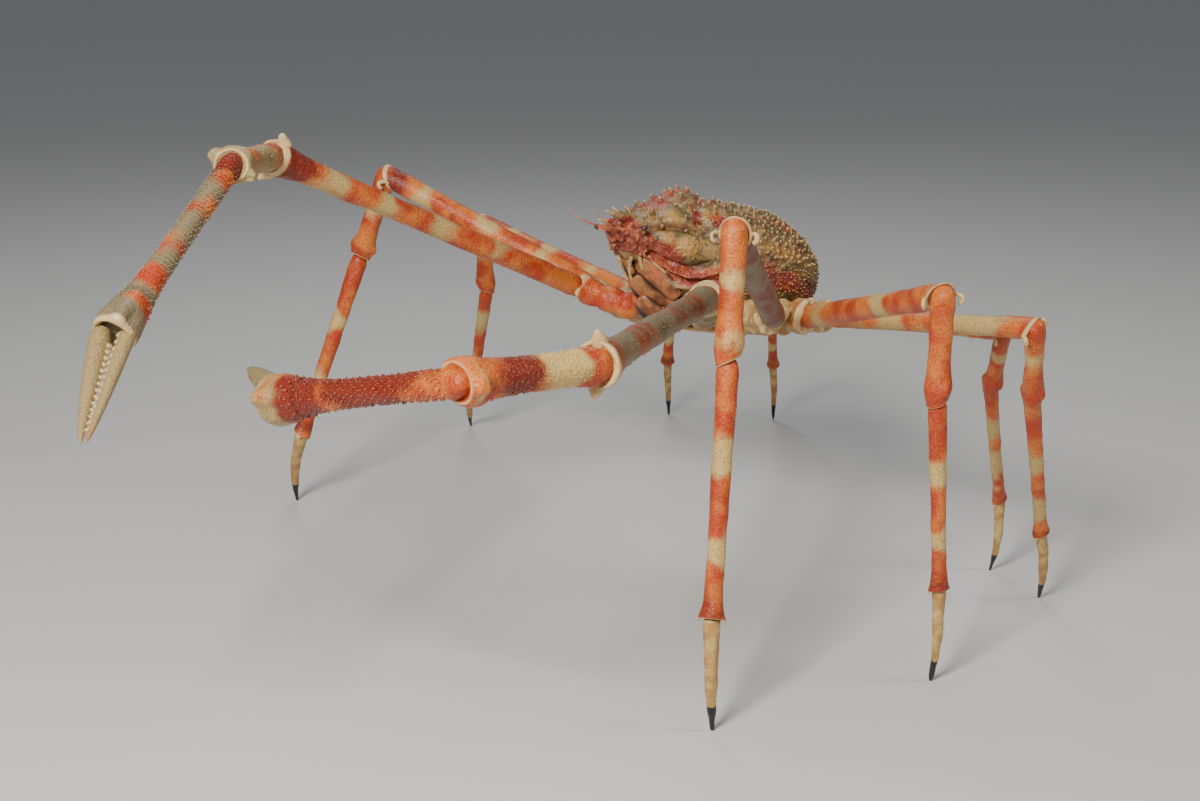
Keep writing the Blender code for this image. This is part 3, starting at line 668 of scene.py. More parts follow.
RIGHT_CLAW_SHARE = 0.86
POSE = {
    "L1": ((51, 5), (82, 5), (168, -14), (-165, -3)),
    "R1": ((97, 25), (140, 5), (126, -28), (145, -27)),
    "L2": ((49, None), (52, -82), (55, -80), (-129, -84)),
    "R2": ((40, None), (14, -64), (67, -70), (-16, -63)),
    "L3": ((20, None), (-133, -83), (-112, -81), (-144, -80)),
    "R3": ((7, None), (-36, -70), (-20, -58), (-30, -43)),
    "L4": ((-1, None), (-128, -58), (-117, -64), (-127, -63)),
    "R4": ((-37, None), (-29, -54), (-34, -57), (-42, -65)),
    "L5": ((-2, None), (-140, -52), (-121, -58), (-144, -75)),
    "R5": ((-53, None), (-46, -35), (-44, -48), (-46, -72)),
}
SEGMENTS = ("coxa", "merus", "carpus", "propodus", "dactylus")


def direction(side, heading, rise):
    """The way of a segment, from its heading and rise in degrees."""
    flat = cos(radians(rise))
    return Vector((side * flat * cos(radians(heading)), -flat * sin(radians(heading)), sin(radians(rise))))


def limb_joints(limb):
    """Root, hip and the joints down to the tip of a limb."""
    side = 1 if limb[0] == "L" else -1
    pair = int(limb[1])
    root = body_point(side * COXA_ROOTS[pair][0], COXA_ROOTS[pair][1], ROOT_DROP)
    joints = [root, body_point(side * HIPS[pair][0], HIPS[pair][1], HIPS[pair][2])]
    pose = list(POSE[limb])
    lengths = LENGTHS[pair]
    if pose[0][1] is None:
        fall = sum(length * sin(radians(-rise)) for length, (_, rise) in zip(lengths[1:], pose[1:]))
        pose[0] = (pose[0][0], degrees(asin((fall - joints[1].z) / lengths[0])))
    for length, (heading, rise) in zip(lengths, pose):
        joints.append(joints[-1] + direction(side, heading, rise) * length)
    return joints


def limb_radii(limb):
    """Radii of a limb's segments at their joints, thinner on the right claw limb."""
    share = RIGHT_CLAW_SHARE if limb == "R1" else 1
    return [radius * share for radius in RADII[int(limb[1])]]


def hinge_axes(joints):
    """The hinge at the far end of each segment: the knee's across the bend, the next square to it."""
    ways = [(end - start).normalized() for start, end in zip(joints, joints[1:])]
    hip = ways[0].cross(Vector((0, 0, 1))).normalized()
    knee = ways[1].cross(ways[2]).normalized()
    wrist = ways[2].cross(knee).normalized()
    ankle = ways[3].cross(wrist).normalized()
    return [hip, knee, wrist, ankle, ways[4].cross(ways[4].cross(ankle)).normalized()]


def placed(form, name, start, end, hinge, radius, length):
    """A copy of a form, stretched between two joints, with its place in its mesh."""
    piece = add_piece(name, form.data.copy())
    reach = end - start
    along = reach.normalized()
    across = (hinge - along * hinge.dot(along)).normalized()
    turn = Matrix((across, along.cross(across), along)).transposed().to_4x4()
    size = Matrix.Diagonal((radius, radius, reach.length / length, 1))
    piece.data.transform(Matrix.Translation(start) @ turn @ size)
    return piece


# Colours of the limbs along each segment, all in percent: cream bands, how grey the cream is,
# and crimson zones, each band with its place and half width along the length and its strength.
PLAIN_COLOURS = {
    # Coxa: the narrow crimson bands at 25 and 61 percent are painted shade in its folds.
    "coxa": (((40, 150, 78),), 45, ((25, 3.5, 80), (61, 3.5, 80), (80, 6, 40))),
    "merus": (((12, 5, 60), (33, 6, 70), (57, 6, 80), (80, 7, 80)), 10, ((95, 6, 40),)),
    "carpus": (((38, 13, 62), (74, 10, 40)), 10, ((97, 6, 50),)),
    "propodus": (((35, 7, 100), (71, 7.5, 100)), 10, ((52, 12, 35), (95, 8, 60))),
    "dactylus": ((), 0, ()),
}
LIMB_COLOURS = {
    # The left claw's coxa: its narrow crimson bands at 25 and 61 percent are painted shade in its folds.
    "L1 coxa": (((40, 150, 80),), 90, ((25, 3.5, 70), (61, 3.5, 70))),
    "L1 merus": (
        ((10, 8, 85), (32, 6, 80), (55, 10, 90), (85, 10, 95), (50, 200, 55)), 100, ((50, 200, 60),),
    ),
    "L1 carpus": (((30, 13, 130), (95, 4, 50)), 0, ((62, 15, 95),)),
    "L1 propodus": (((93, 4, 70), (100, 8, 130)), 55, ((42, 42, 95), (80, 10, 130))),
    "R1 coxa": (((96, 8, 80),), 20, ((50, 40, 35),)),
    "R1 merus": (
        ((13, 2.8, 80), (31, 3.3, 90), (50, 3.6, 90), (68, 3.6, 90), (84, 4.5, 85)), 30,
        ((95, 6, 90), (23, 4, 50), (41, 4, 60), (60, 4, 60), (76, 4, 50)),
    ),
    "R1 carpus": (((42, 44, 85), (96, 10, 130)), 65, ((12, 10, 50),)),
    "R1 propodus": (
        ((20, 9, 95), (42, 10, 100), (62, 9, 100), (80, 7, 95), (97, 12, 130)), 100, ((2, 8, 130),),
    ),
    "R2 merus": (
        ((10, 4, 80), (34, 4.5, 90), (58, 4.5, 90), (83, 5, 90)), 25,
        ((95, 5, 80), (45, 6, 50), (70, 6, 50)),
    ),
    # The second left leg's merus: its three grey bands are its own; the crimson and grey cream over its
    # whole length are painted shade, dark as it lies in shadow.
    "L2 merus": (((25, 4, 80), (50, 4, 80), (74, 4, 80), (50, 200, 56)), 100, ((50, 80, 110),)),
    "L2 carpus": (((36, 14, 75), (80, 12, 55)), 10, ()),
    "L3 merus": (((15, 9, 70), (62, 12, 80)), 20, ((85, 6, 30),)),
    "L3 carpus": (((20, 10, 35),), 10, ((88, 12, 35),)),
    "L4 merus": (((35, 12, 80), (75, 16, 90), (50, 200, 42)), 30, ()),
    "L4 carpus": (((35, 20, 65), (50, 200, 32)), 10, ()),
    "L5 carpus": (((35, 20, 65), (50, 200, 32)), 10, ()),
    "L4 propodus": (((42, 14, 90), (78, 10, 90), (50, 200, 34)), 25, ((97, 5, 60),)),
    "L5 propodus": (((30, 12, 90), (62, 14, 95), (50, 200, 34)), 20, ((97, 5, 50),)),
    "R3 propodus": (((25, 10, 85), (70, 12, 90)), 20, ()),
}
CLAW_FINGER_COLOURS = (((30, 75, 140),), 70, ())
# Where the black of a leg's tip starts, and how the bands' edges waver round the limb
BLACK_FROM = 0.74
BAND_WOBBLE = 0.4
BAND_TURN = 0.4


def band_strength(points, length, bands):
    """How strongly bands colour points of a form, with edges that waver round the limb."""
    percent = points[:, 2] / length * 100
    turn = np.arctan2(points[:, 1], points[:, 0])
    strength = np.zeros(len(points))
    for at, wide, most in bands:
        wavering = wide * (1 + BAND_WOBBLE * np.cos(turn + BAND_TURN * at))
        strength = np.maximum(strength, most / 100 * np.exp(-(((percent - at) / wavering) ** 2)))
    return strength


def paint_form(form, length, colours):
    """Marks a form with the colours of one segment, before it is copied to its place."""
    points = points_of(form)
    pale, grey, deep = colours
    write_marks(form, {
        "pale": band_strength(points, length, pale),
        "grey": np.full(len(points), grey / 100),
        "deep": band_strength(points, length, deep),
    })


for form in (claw_forms["propodus"][0], claw_tubercles["propodus"]):
    levels = points_of(form)[:, 2]
    write_marks(form, {"rings": np.where(levels < RINGS_END * RING_SPACING, levels, 0)})
tip_form, tip_length = leg_forms["dactylus"]
write_marks(tip_form, {"tip": 0.5 + (points_of(tip_form)[:, 2] / tip_length - BLACK_FROM) * 2})

add_hooks(leg_forms["merus"][0], hook_form, KNEE_HOOK, HOOK_RADIUS)
add_hooks(claw_forms["merus"][0], claw_horn_form, CLAW_HORN, CLAW_HORN_RADIUS)

# Every segment is a copy of its form, painted, stretched and turned into its place. The claws
# part their fingers across the way they open.
CLAW_OPENS = {"L1": (0.0, 0.0, 1.0), "R1": (-0.6, -0.8, 0.0)}
MOVABLE_SIZE = 0.73
FIXED_SIZE = 0.95
FINGER_BITE = 0.0012
FIXED_SINK = 0.020
COXA_SHARE = 1.20
# Lumps of the shells: how close they lie and how far they rise
COXA_LUMPS = (75.0, 0.0052)
CLAW_LUMPS = (70.0, 0.002)
LEG_LUMPS = (60.0, 0.0012)


def roughen(piece, scale, height):
    """Moves the points of a shell in and out in soft lumps."""
    lumps = [point.normal * noise.noise(point.co * scale) * height for point in piece.data.vertices]
    set_points(piece, points_of(piece) + np.array(lumps))


def finish_limb_piece(piece, node, paint):
    """Flattens what would pass the floor or the model's size, and gives the piece its finish."""
    set_points(piece, np.clip(points_of(piece), solid_low, solid_high))
    piece.data.materials.append(paint)
    piece.data.shade_smooth()
    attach(piece, "root")
    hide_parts(node)


def set_piece(form, name, node, colours, place, paint=limb_paint, lumps=None):
    """A painted copy of a form in its place on a limb."""
    paint_form(form, place[-1], colours)
    piece = placed(form, name, *place)
    if lumps:
        roughen(piece, *lumps)
    finish_limb_piece(piece, node, paint)


def set_finger(name, node, slot, *place):
    """A finger and its row of teeth."""
    for form, ending in ((finger_form, ""), (finger_teeth, "_teeth")):
        set_piece(form, name + ending, node, CLAW_FINGER_COLOURS, (*place, FINGER_LENGTH))


for limb in POSE:
    pair = int(limb[1])
    kind = "cheliped" if pair == 1 else "leg%d" % pair
    joints = limb_joints(limb)
    sizes = limb_radii(limb)
    hinges = hinge_axes(joints)
    forms = claw_forms if pair == 1 else leg_forms
    for k, label in enumerate(SEGMENTS):
        if label not in forms:
            break
        form, length = forms[label]
        node = "%s_%s_%s" % (kind, label, limb[0])
        colours = LIMB_COLOURS.get("%s %s" % (limb, label), PLAIN_COLOURS[label])
        radius = sizes[k + 1] if k else sizes[0] * COXA_SHARE
        place = (joints[k], joints[k + 1], hinges[k], radius, length)
        paint = limb_paint
        if label == "dactylus":
            paint = tip_paint
        lumps = COXA_LUMPS if label == "coxa" else LEG_LUMPS
        if pair == 1:
            lumps = CLAW_LUMPS
        set_piece(form, node + "_shell", node, colours, place, paint, lumps)
        if pair == 1 and label in claw_tubercles:
            set_piece(claw_tubercles[label], node + "_tubercles", node, colours, place)
    if pair == 1:
        palm_way = (joints[4] - joints[3]).normalized()
        opening = Vector(CLAW_OPENS[limb])
        opening = (opening - palm_way * opening.dot(palm_way)).normalized()
        hinge = palm_way.cross(opening)
        start = joints[4] + opening * FINGER_BITE
        end = joints[5] + opening * FINGER_BITE * 0.5
        node = "cheliped_dactylus_" + limb[0]
        set_finger(node + "_shell", node, "claw_finger", start, end, -hinge, sizes[4] * MOVABLE_SIZE)
        start = joints[4] - palm_way * FIXED_SINK - opening * FINGER_BITE
        end = joints[5] - opening * FINGER_BITE * 0.5
        node = "cheliped_propodus_" + limb[0]
        name = "cheliped_fixed_finger_" + limb[0]
        set_finger(name, node, "claw_shell", start, end, hinge, sizes[5] * FIXED_SIZE)
spent = {form for forms in (leg_forms, claw_forms) for form, _ in forms.values()}
for form in [*spent, *claw_tubercles.values(), finger_form, finger_teeth, hook_form, claw_horn_form]:
    bpy.data.objects.remove(form, do_unlink=True)

# The carapace: one hard shield, domed and pear-shaped, drawn from a sphere onto the arch of
# the shell, then pressed and raised where the stomach, heart and gill regions swell.
SHELL_STATIONS = (
    (-0.162, 0.026, -0.004, -0.034), (-0.152, 0.05, 0.012, -0.03), (-0.13, 0.082, 0.029, -0.024),
    (-0.095, 0.11, 0.046, -0.018), (-0.05, 0.128, 0.06, -0.012), (0.0, 0.118, 0.067, -0.007),
    (0.05, 0.088, 0.069, -0.002), (0.095, 0.066, 0.059, 0.002), (0.13, 0.05, 0.043, 0.004),
    (0.148, 0.038, 0.034, 0.006), (0.158, 0.02, 0.026, 0.008),
)
SHELL_FLOOR = (
    (-0.162, -0.057), (-0.152, -0.06), (0.05, -0.06), (0.126, -0.041), (0.148, -0.018), (0.158, -0.002),
)
FLOOR_SHARE = 0.74
LOBES = (
    (0.0, 0.052, 0.009, 0.034, 0.038), (0.0, -0.078, 0.006, 0.022, 0.028),
    (0.066, -0.05, 0.004, 0.03, 0.045), (-0.066, -0.05, 0.004, 0.03, 0.045),
)


def smooth_value(rows, at, column):
    """Value of one column of a table of stations, by a smooth curve through its rows."""
    for index in range(len(rows) - 1):
        if at <= rows[index + 1][0]:
            break
    before = rows[max(index - 1, 0)]
    start = rows[index]
    end = rows[index + 1]
    after = rows[min(index + 2, len(rows) - 1)]
    span = end[0] - start[0]
    share = (at - start[0]) / span
    slope_in = (end[column] - before[column]) / max(end[0] - before[0], 1e-9) * span
    slope_out = (after[column] - start[column]) / max(after[0] - start[0], 1e-9) * span
    cubic = share * share * (3 - 2 * share)
    lead = share * (1 - share) * (1 - share) * slope_in
    trail = share * share * (1 - share) * slope_out
    return start[column] + (end[column] - start[column]) * cubic + lead - trail


def straight_value(rows, at, column):
    """Value of one column of a table of stations, by straight lines between its rows."""
    for start, end in zip(rows, rows[1:]):
        if at <= end[0]:
            share = (at - start[0]) / (end[0] - start[0])
            return start[column] + (end[column] - start[column]) * share
    return rows[-1][column]


def shell_surface(forward, angle):
    """A point of the shield: angle 0 is the left widest line, pi the right one, below 0 the floor."""
    half = smooth_value(SHELL_STATIONS, forward, 1)
    waist = smooth_value(SHELL_STATIONS, forward, 3)
    if sin(angle) >= 0:
        outward = half * cos(angle)
        top = smooth_value(SHELL_STATIONS, forward, 2)
        for across, along, height, wide, long in LOBES:
            top += height * exp(-((outward - across) / wide) ** 2 - ((forward - along) / long) ** 2)
        return Vector((outward, -forward, waist + (top - waist) * sin(angle)))
    bottom = straight_value(SHELL_FLOOR, forward, 1)
    outward = half * (FLOOR_SHARE * (1 if cos(angle) > 0 else -1) + (1 - FLOOR_SHARE) * cos(angle))
    if abs(cos(angle)) < 0.3:
        outward = half * cos(angle) / 0.3 * (FLOOR_SHARE + (1 - FLOOR_SHARE) * 0.3)
    return Vector((outward, -forward, waist + (waist - bottom) * sin(angle)))


# How far forward the lower face may reach at each height, less its spread to the sides: it
# narrows to the mouth like a wedge.
FACE_EDGE = (
    (-0.098, 0.03), (-0.074, 0.074), (-0.069, 0.088), (-0.061, 0.106), (-0.043, 0.12), (-0.032, 0.125),
    (-0.021, 0.129), (-0.014, 0.139), (-0.004, 0.15), (0.004, 0.157), (0.018, 0.167), (0.042, 0.2),
    (0.06, 0.26),
)
FACE_SPREAD = 0.76
FACE_ROUND = 0.005
# Relief of the shield in millimetres, each line through body points with its width and height:
# swellings and folds stand out and grooves are pressed in, alike on both sides.
MM = 0.001
SHIELD_RELIEF = (
    (((69, 88, 5),), 15, 8.5),
    (((45, 100, 42),), 18, 6),
    (((59, 58, 49),), 13, 5),
    (((56, 112, 14),), 10, 4.5),
    (((0, 62, 78),), 30, 3),
    (((0, -35, 70), (0, -60, 66)), 20, 4.5),
    (((0, -115, 40),), 22, 4),
    (((72, -40, 52), (66, -85, 36)), 36, 3),
    (((30, 144, 26), (38, 134, 23), (49, 114, 29), (61, 91, 28), (75, 65, 22)), 4.8, -7.5),
    (((0, 12, 71), (25, 36, 71), (49, 62, 54), (64, 68, 37)), 6.5, -5),
    (((64, 68, 37), (80, 56, 22), (92, 36, 0)), 6.5, -7.5),
    (((22, 2, 70), (18, -40, 68), (28, -85, 54)), 6, -4.5),
    (((34, 122, -6), (47, 99, -17), (62, 82, -21), (82, 60, -14)), 4.2, -7.5),
    (((28, 125, -8), (36, 110, -15), (43, 95, -25), (59, 81, -32), (75, 67, -32), (90, 45, -22)), 3.6, 6),
    (((31, 109, -19), (45, 92, -31), (61, 76, -38), (84, 52, -36)), 2.6, -5.5),
    (((28, 106, -24), (36, 96, -36), (46, 84, -45), (63, 70, -47), (86, 46, -44)), 4, 5.5),
    (((110, 12, 12), (122, -40, -8), (100, -105, -30)), 7, 3.5),
    (((112, 4, -4), (124, -45, -22), (98, -110, -40)), 6, -4.5),
    (((38, 135, 16),), 6, -8),
    (((26, 150, 31), (36, 140, 30), (46, 130, 24)), 4, 5),
)
# The cheek's star: its middle, its way back along the shell, ridges, ring and their height
CHEEK = (0.069, 0.088, 0.005)
CHEEK_WAY = (0.54, -0.84, 0.0)
CHEEK_RAYS = 13
CHEEK_RING = (0.0095, 0.005)
CHEEK_REACH = 0.03
CHEEK_RAY_HEIGHT = 0.0013
# Uneven surface: scale and height of each size of lump
LUMPS = ((75.0, 0.0013), (190.0, 0.0007))
# Colours laid on in the same way: mark, body points and width in millimetres, and strength
SHIELD_COLOURS = (
    ("red", ((0, 155, 12), (21, 143, 6), (36, 128, 4)), 17, 1.3),
    ("red", ((4, 150, 28), (22, 146, 28)), 16, 1.0),
    ("red", ((30, 118, -12), (43, 95, -24), (65, 74, -36), (88, 48, -32)), 14, 1.3),
    ("red", ((53, 116, 0), (59, 98, -12)), 11, 1.3),
    ("red", ((73, 43, 42), (78, 36, 36)), 12, 1.1),
    ("red", ((26, 0, 68), (10, 4, 72)), 14, 1.0),
    ("red", ((18, 105, 55), (4, 60, 78)), 24, 0.62),
    ("red", ((45, 60, 60), (62, 72, 36)), 10, 0.8),
    ("red", ((112, 0, -18), (122, -45, -34), (92, -112, -46)), 20, 0.75),
    ("tan", ((69, 88, 5),), 14.5, 1.2),
    ("tan", ((47, 98, 40),), 16, 0.8),
    ("tan", ((59, 58, 49),), 12, 1.0),
    ("tan", ((56, 112, 14),), 10, 1.1),
    ("tan", ((115, 20, 20), (128, -40, 4), (105, -100, -18)), 14, 0.6),
    ("tan", ((70, 74, -45), (90, 40, -50)), 10, 0.8),
    ("deep", ((30, 144, 26), (49, 114, 29), (61, 91, 28), (75, 65, 22)), 5, 1.0),
    ("deep", ((25, 36, 71), (49, 62, 54), (64, 68, 37), (92, 36, 0)), 6.5, 0.55),
    ("deep", ((34, 122, -6), (47, 99, -17), (62, 82, -21), (82, 60, -14)), 3.8, 1.0),
    ("deep", ((31, 109, -19), (45, 92, -31), (61, 76, -38), (84, 52, -36)), 2.8, 1.0),
    ("deep", ((38, 135, 16),), 5.5, 1.0),
    ("deep", ((8, 150, 10), (36, 130, 0)), 16, 0.5),
    ("deep", ((0, 125, -30), (0, 110, -55), (12, 85, -60)), 20, 1.2),
)
FACE_LINE = ((0, 155, 12), (21, 146, 10), (40, 132, 8))
FACE_WIDTH = 16


def near_line(points, line, width):
    """How near points lie to a line of the body on either side, 1 on it and 0 well away."""
    best = np.zeros(len(points))
    for side in (-1, 1):
        ends = [np.array((side * out, -forward, up)) * MM for out, forward, up in line]
        for start, end in zip(ends, ends[1:] or ends):
            reach = end - start
            share = np.clip((points - start) @ reach / max(reach @ reach, 1e-12), 0, 1)
            away = np.linalg.norm(points - start - share[:, None] * reach, axis=1)
            best = np.maximum(best, np.exp(-((away / (width * MM)) ** 2)))
    return best


def cheek_star(points):
    """Heights of the short ridges that spread from the top of each cheek like a star."""
    away = np.column_stack((np.abs(points[:, 0]), -points[:, 1], points[:, 2])) - CHEEK
    across = away @ np.array(CHEEK_WAY)
    reach = np.hypot(across, away[:, 2])
    ring = np.exp(-(((reach - CHEEK_RING[0]) / CHEEK_RING[1]) ** 2))
    ring *= np.linalg.norm(away, axis=1) < CHEEK_REACH
    return np.cos(CHEEK_RAYS * np.arctan2(away[:, 2], across)) * ring * CHEEK_RAY_HEIGHT


def shield_marks(points):
    """The colours' strengths at points of the body."""
    marks = {name: np.zeros(len(points)) for name, _, _, _ in SHIELD_COLOURS}
    for name, line, width, strength in SHIELD_COLOURS:
        marks[name] = np.maximum(marks[name], near_line(points, line, width) * strength)
    return marks


def settle(piece, node, paint):
    """Sets a piece modelled about the body's middle in its place and gives it its finish."""
    piece.data.transform(Matrix.Translation(body_middle) @ body_tilt.to_4x4())
    finish_limb_piece(piece, node, paint)


def lying_sphere(name, segments, rings):
    """A sphere with its poles in front and behind."""
    turn = (radians(90), 0, 0)
    bpy.ops.mesh.primitive_uv_sphere_add(segments=segments, ring_count=rings, radius=1, rotation=turn)
    piece = bpy.context.object
    piece.name = name
    bpy.ops.object.transform_apply(location=False, rotation=True, scale=False)
    return piece


def sphere_points(piece, stations):
    """Each point of a lying sphere, how far forward it comes to lie, its distance from the axis
    and its angle round it."""
    rear = stations[0][0]
    front = stations[-1][0]
    for point in piece.data.vertices:
        forward = (rear + front) / 2 - point.co.y * (front - rear) / 2
        forward = min(max(forward, rear), front)
        yield point, forward, hypot(point.co.x, point.co.z), atan2(point.co.z, point.co.x)


shield = lying_sphere("carapace_shield", 160, 124)
# Nearer to its axis than this, the sphere closes
POLE = 0.02
for point, forward, flat, angle in sphere_points(shield, SHELL_STATIONS):
    middle = Vector((0, -forward, smooth_value(SHELL_STATIONS, forward, 3)))
    point.co = shell_surface(forward, angle) if flat > POLE else middle
soften(shield, 1)
places = points_of(shield)
edge = np.interp(places[:, 2], [row[0] for row in FACE_EDGE], [row[1] for row in FACE_EDGE])
limit = edge - FACE_SPREAD * np.abs(places[:, 0])
places[:, 1] = FACE_ROUND * np.log(np.exp(places[:, 1] / FACE_ROUND) + np.exp(-limit / FACE_ROUND))
set_points(shield, places)
normals = ways_of(shield)
heights = cheek_star(places)
for line, width, height in SHIELD_RELIEF:
    heights += near_line(places, line, width) * height * MM
for scale, height in LUMPS:
    heights += height * np.array([noise.noise(Vector(place) * scale) for place in places])

# Spines of the shield, cream-tipped cones on low mounds: close and small behind, fewer and
# larger in front, and fine grains down the flanks.
SPINE_STEPS = ((-0.45, 1.1), (0.0, 0.85), (0.35, 0.52), (0.75, 0.27), (1.0, 0.07))
SPINE_SIDES = 7
SPINE_SEED = 41
SPINE_TRIES = 20000
MOUND_SHARE = 0.60
MOUND_SPREAD = 1.45
BARE_CHEEK = 0.024
SPINE_GROWTH = (0.65, 1.20)
SPINE_LEAN = (0, -0.35, 0.10)
# Spacing, height and root radius of the spines of the back, what they gain towards the front,
# and of the grains on the cheeks and on the flanks behind FLANK_FRONT
BACK_SPINE = (0.0070, 0.0032, 0.0034)
FRONT_GAIN = (0.0115, 0.0022, 0.0006)
CHEEK_GRAIN = (0.0070, 0.0014, 0.0015)
FLANK_GRAIN = (0.0050, 0.0021, 0.0019)
FLANK_FRONT = 0.035
# The bare underside: below this height, or facing further down than this
BARE_BELOW = -0.056
BARE_FACING = -0.55
# The bare face: in front of the first and below the second
BARE_FACE = (0.105, 0.034)


def spine_plan(place, normal):
    """Spacing, height and root radius of the spine that may stand at a place, or None."""
    out, forward, up = abs(place[0]), -place[1], place[2]
    if normal[2] < BARE_FACING or up < BARE_BELOW:
        return None
    if up > -0.004 - 0.12 * (0.05 - forward) and normal[2] > 0.05:
        front_share = min(max((forward + 0.02) / 0.12, 0), 1)
        if forward > BARE_FACE[0] and up < BARE_FACE[1]:
            return None
        if hypot(out - CHEEK[0], forward - CHEEK[1], up - CHEEK[2]) < BARE_CHEEK:
            return CHEEK_GRAIN
        return [start + gain * front_share for start, gain in zip(BACK_SPINE, FRONT_GAIN)]
    return FLANK_GRAIN if forward < FLANK_FRONT else None


chance = random.Random(SPINE_SEED)
taken = np.zeros((0, 3))
spots = []
for _ in range(SPINE_TRIES):
    index = chance.randrange(len(places))
    plan = spine_plan(places[index], normals[index])
    if plan is None or (len(taken) and np.min(np.linalg.norm(taken - places[index], axis=1)) < plan[0]):
        continue
    taken = np.vstack((taken, places[index]))
    grow = chance.uniform(*SPINE_GROWTH)
    spots.append((index, plan[1] * grow, plan[2] * (0.6 + 0.4 * grow)))
for index, rise, root in spots:
    away = np.linalg.norm(places - places[index], axis=1)
    heights += np.exp(-((away / (root * MOUND_SPREAD)) ** 2)) * rise * MOUND_SHARE
places = places + normals * heights[:, None]
set_points(shield, places)
write_marks(shield, shield_marks(places))
rough = np.clip((places[:, 1] + 0.055) / 0.06, 0, 1) + near_line(places, FACE_LINE, FACE_WIDTH)
write_marks(shield, {"rim": np.zeros(len(places)), "rough": rough})

spine_form = drawn_form("spine_form", SPINE_STEPS, SPINE_SIDES)
stands = []
for index, rise, root in spots:
    stands.append((places[index], Vector(normals[index]) + Vector(SPINE_LEAN), root, rise))
shield_spines = cluster("carapace_spines", spine_form, stands)
write_marks(shield_spines, shield_marks(points_of(shield_spines)))

# Horns of the brow and the face: base on the shield, the way each points outward, forward and
# up, its length and its radius, in millimetres. The right brow horn is the shorter one.
BROW_HORNS = (((11, 136, 34), (0.2, 0.96, 0.17), 56, 8), ((-11, 136, 32), (-0.16, 0.96, 0.02), 36, 6))
FACE_HORNS = (
    ((30, 118, 40), (0.55, 0.62, 0.56), 18, 5),
    ((40, 112, 26), (0.8, 0.55, 0.25), 18, 5),
    ((52, 88, 12), (0.9, 0.42, 0.1), 14, 4.8),
    ((34, 128, -4), (0.72, 0.66, -0.2), 12, 4.2),
    ((6, 154, 4), (0.3, 0.95, -0.1), 12, 3.2),
    ((17, 160, 30), (0.35, 0.9, 0.25), 14, 3.4),
)
# Knobs round the eye sockets and along the upper edge of the mouth
FACE_KNOBS = (
    (2, 158, 8), (12, 150, 10), (23, 138, 1), (10, 160, 21), (20, 150, 18), (30, 140, 10), (38, 131, 6),
    (48, 124, 13), (29, 149, 29), (40, 137, 27), (16, 144, 1), (35, 126, -6), (25, 132, -9), (5, 152, 0),
)
KNOB_STEPS = ((-0.5, 1.0), (0.0, 1.0), (0.45, 0.92), (0.85, 0.62), (1.0, 0.25))
KNOB_SIZE = (3.6, 4.2)
KNOB_GROWTH = (0.75, 1.25)
KNOB_LEAN = (0, -0.2, 0)
HORN_STEPS = ((-0.12, 1.15), (0.0, 1.0), (0.2, 0.8), (0.5, 0.58), (0.8, 0.34), (0.95, 0.17), (1.0, 0.06))


def on_shield(side, place):
    """The shield's point nearest to a body point on one side, and its way out."""
    point = np.array((side * place[0], -place[1], place[2])) * MM
    nearest = np.argmin(np.linalg.norm(places - point, axis=1))
    return places[nearest], Vector(normals[nearest])


horn_form = drawn_form("horn_form", HORN_STEPS, 10)
soften(horn_form, 1)
stands = []
for base, way, length, radius in BROW_HORNS:
    root = np.array((base[0], -base[1], base[2])) * MM
    stands.append((root, (way[0], -way[1], way[2]), radius * MM, length * MM))
for side in (-1, 1):
    for base, way, length, radius in FACE_HORNS:
        root, _ = on_shield(side, base)
        stands.append((root, (side * way[0], -way[1], way[2]), radius * MM, length * MM))
face_horns = cluster("face_horns", horn_form, stands)
knob_form = drawn_form("knob_form", KNOB_STEPS, 8)
soften(knob_form, 1)
stands = []
for side in (-1, 1):
    for place in FACE_KNOBS:
        root, way = on_shield(side, place)
        grow = chance.uniform(*KNOB_GROWTH) * MM
        stands.append((root, way + Vector(KNOB_LEAN), KNOB_SIZE[0] * grow, KNOB_SIZE[1] * grow))
face_knobs = cluster("face_knobs", knob_form, stands)
for piece in (face_horns, face_knobs):
    write_marks(piece, shield_marks(points_of(piece)))
for piece, form, pale_from in ((face_knobs, knob_form, 0.75), (face_horns, horn_form, 0.35)):
    paleness = np.clip(points_of(form)[:, 2] - pale_from, 0, 1)
    write_marks(piece, {"rim": np.tile(paleness, len(points_of(piece)) // len(paleness))})

# Finish of the shield: grey olive and buff, mottled, with tan swellings, salmon face and
# flanks, maroon grooves and cream spine tips.
SHIELD_OLIVE = rgb(0.105, 0.092, 0.036)
SHIELD_BUFF = rgb(0.30, 0.195, 0.065)
SHIELD_TAN = rgb(0.45, 0.245, 0.062)
SHIELD_SALMON = rgb(0.44, 0.088, 0.034)
SHIELD_CRIMSON = rgb(0.24, 0.020, 0.016)
SHIELD_MAROON = rgb(0.090, 0.016, 0.010)
SPINE_CREAM = rgb(0.68, 0.52, 0.28)


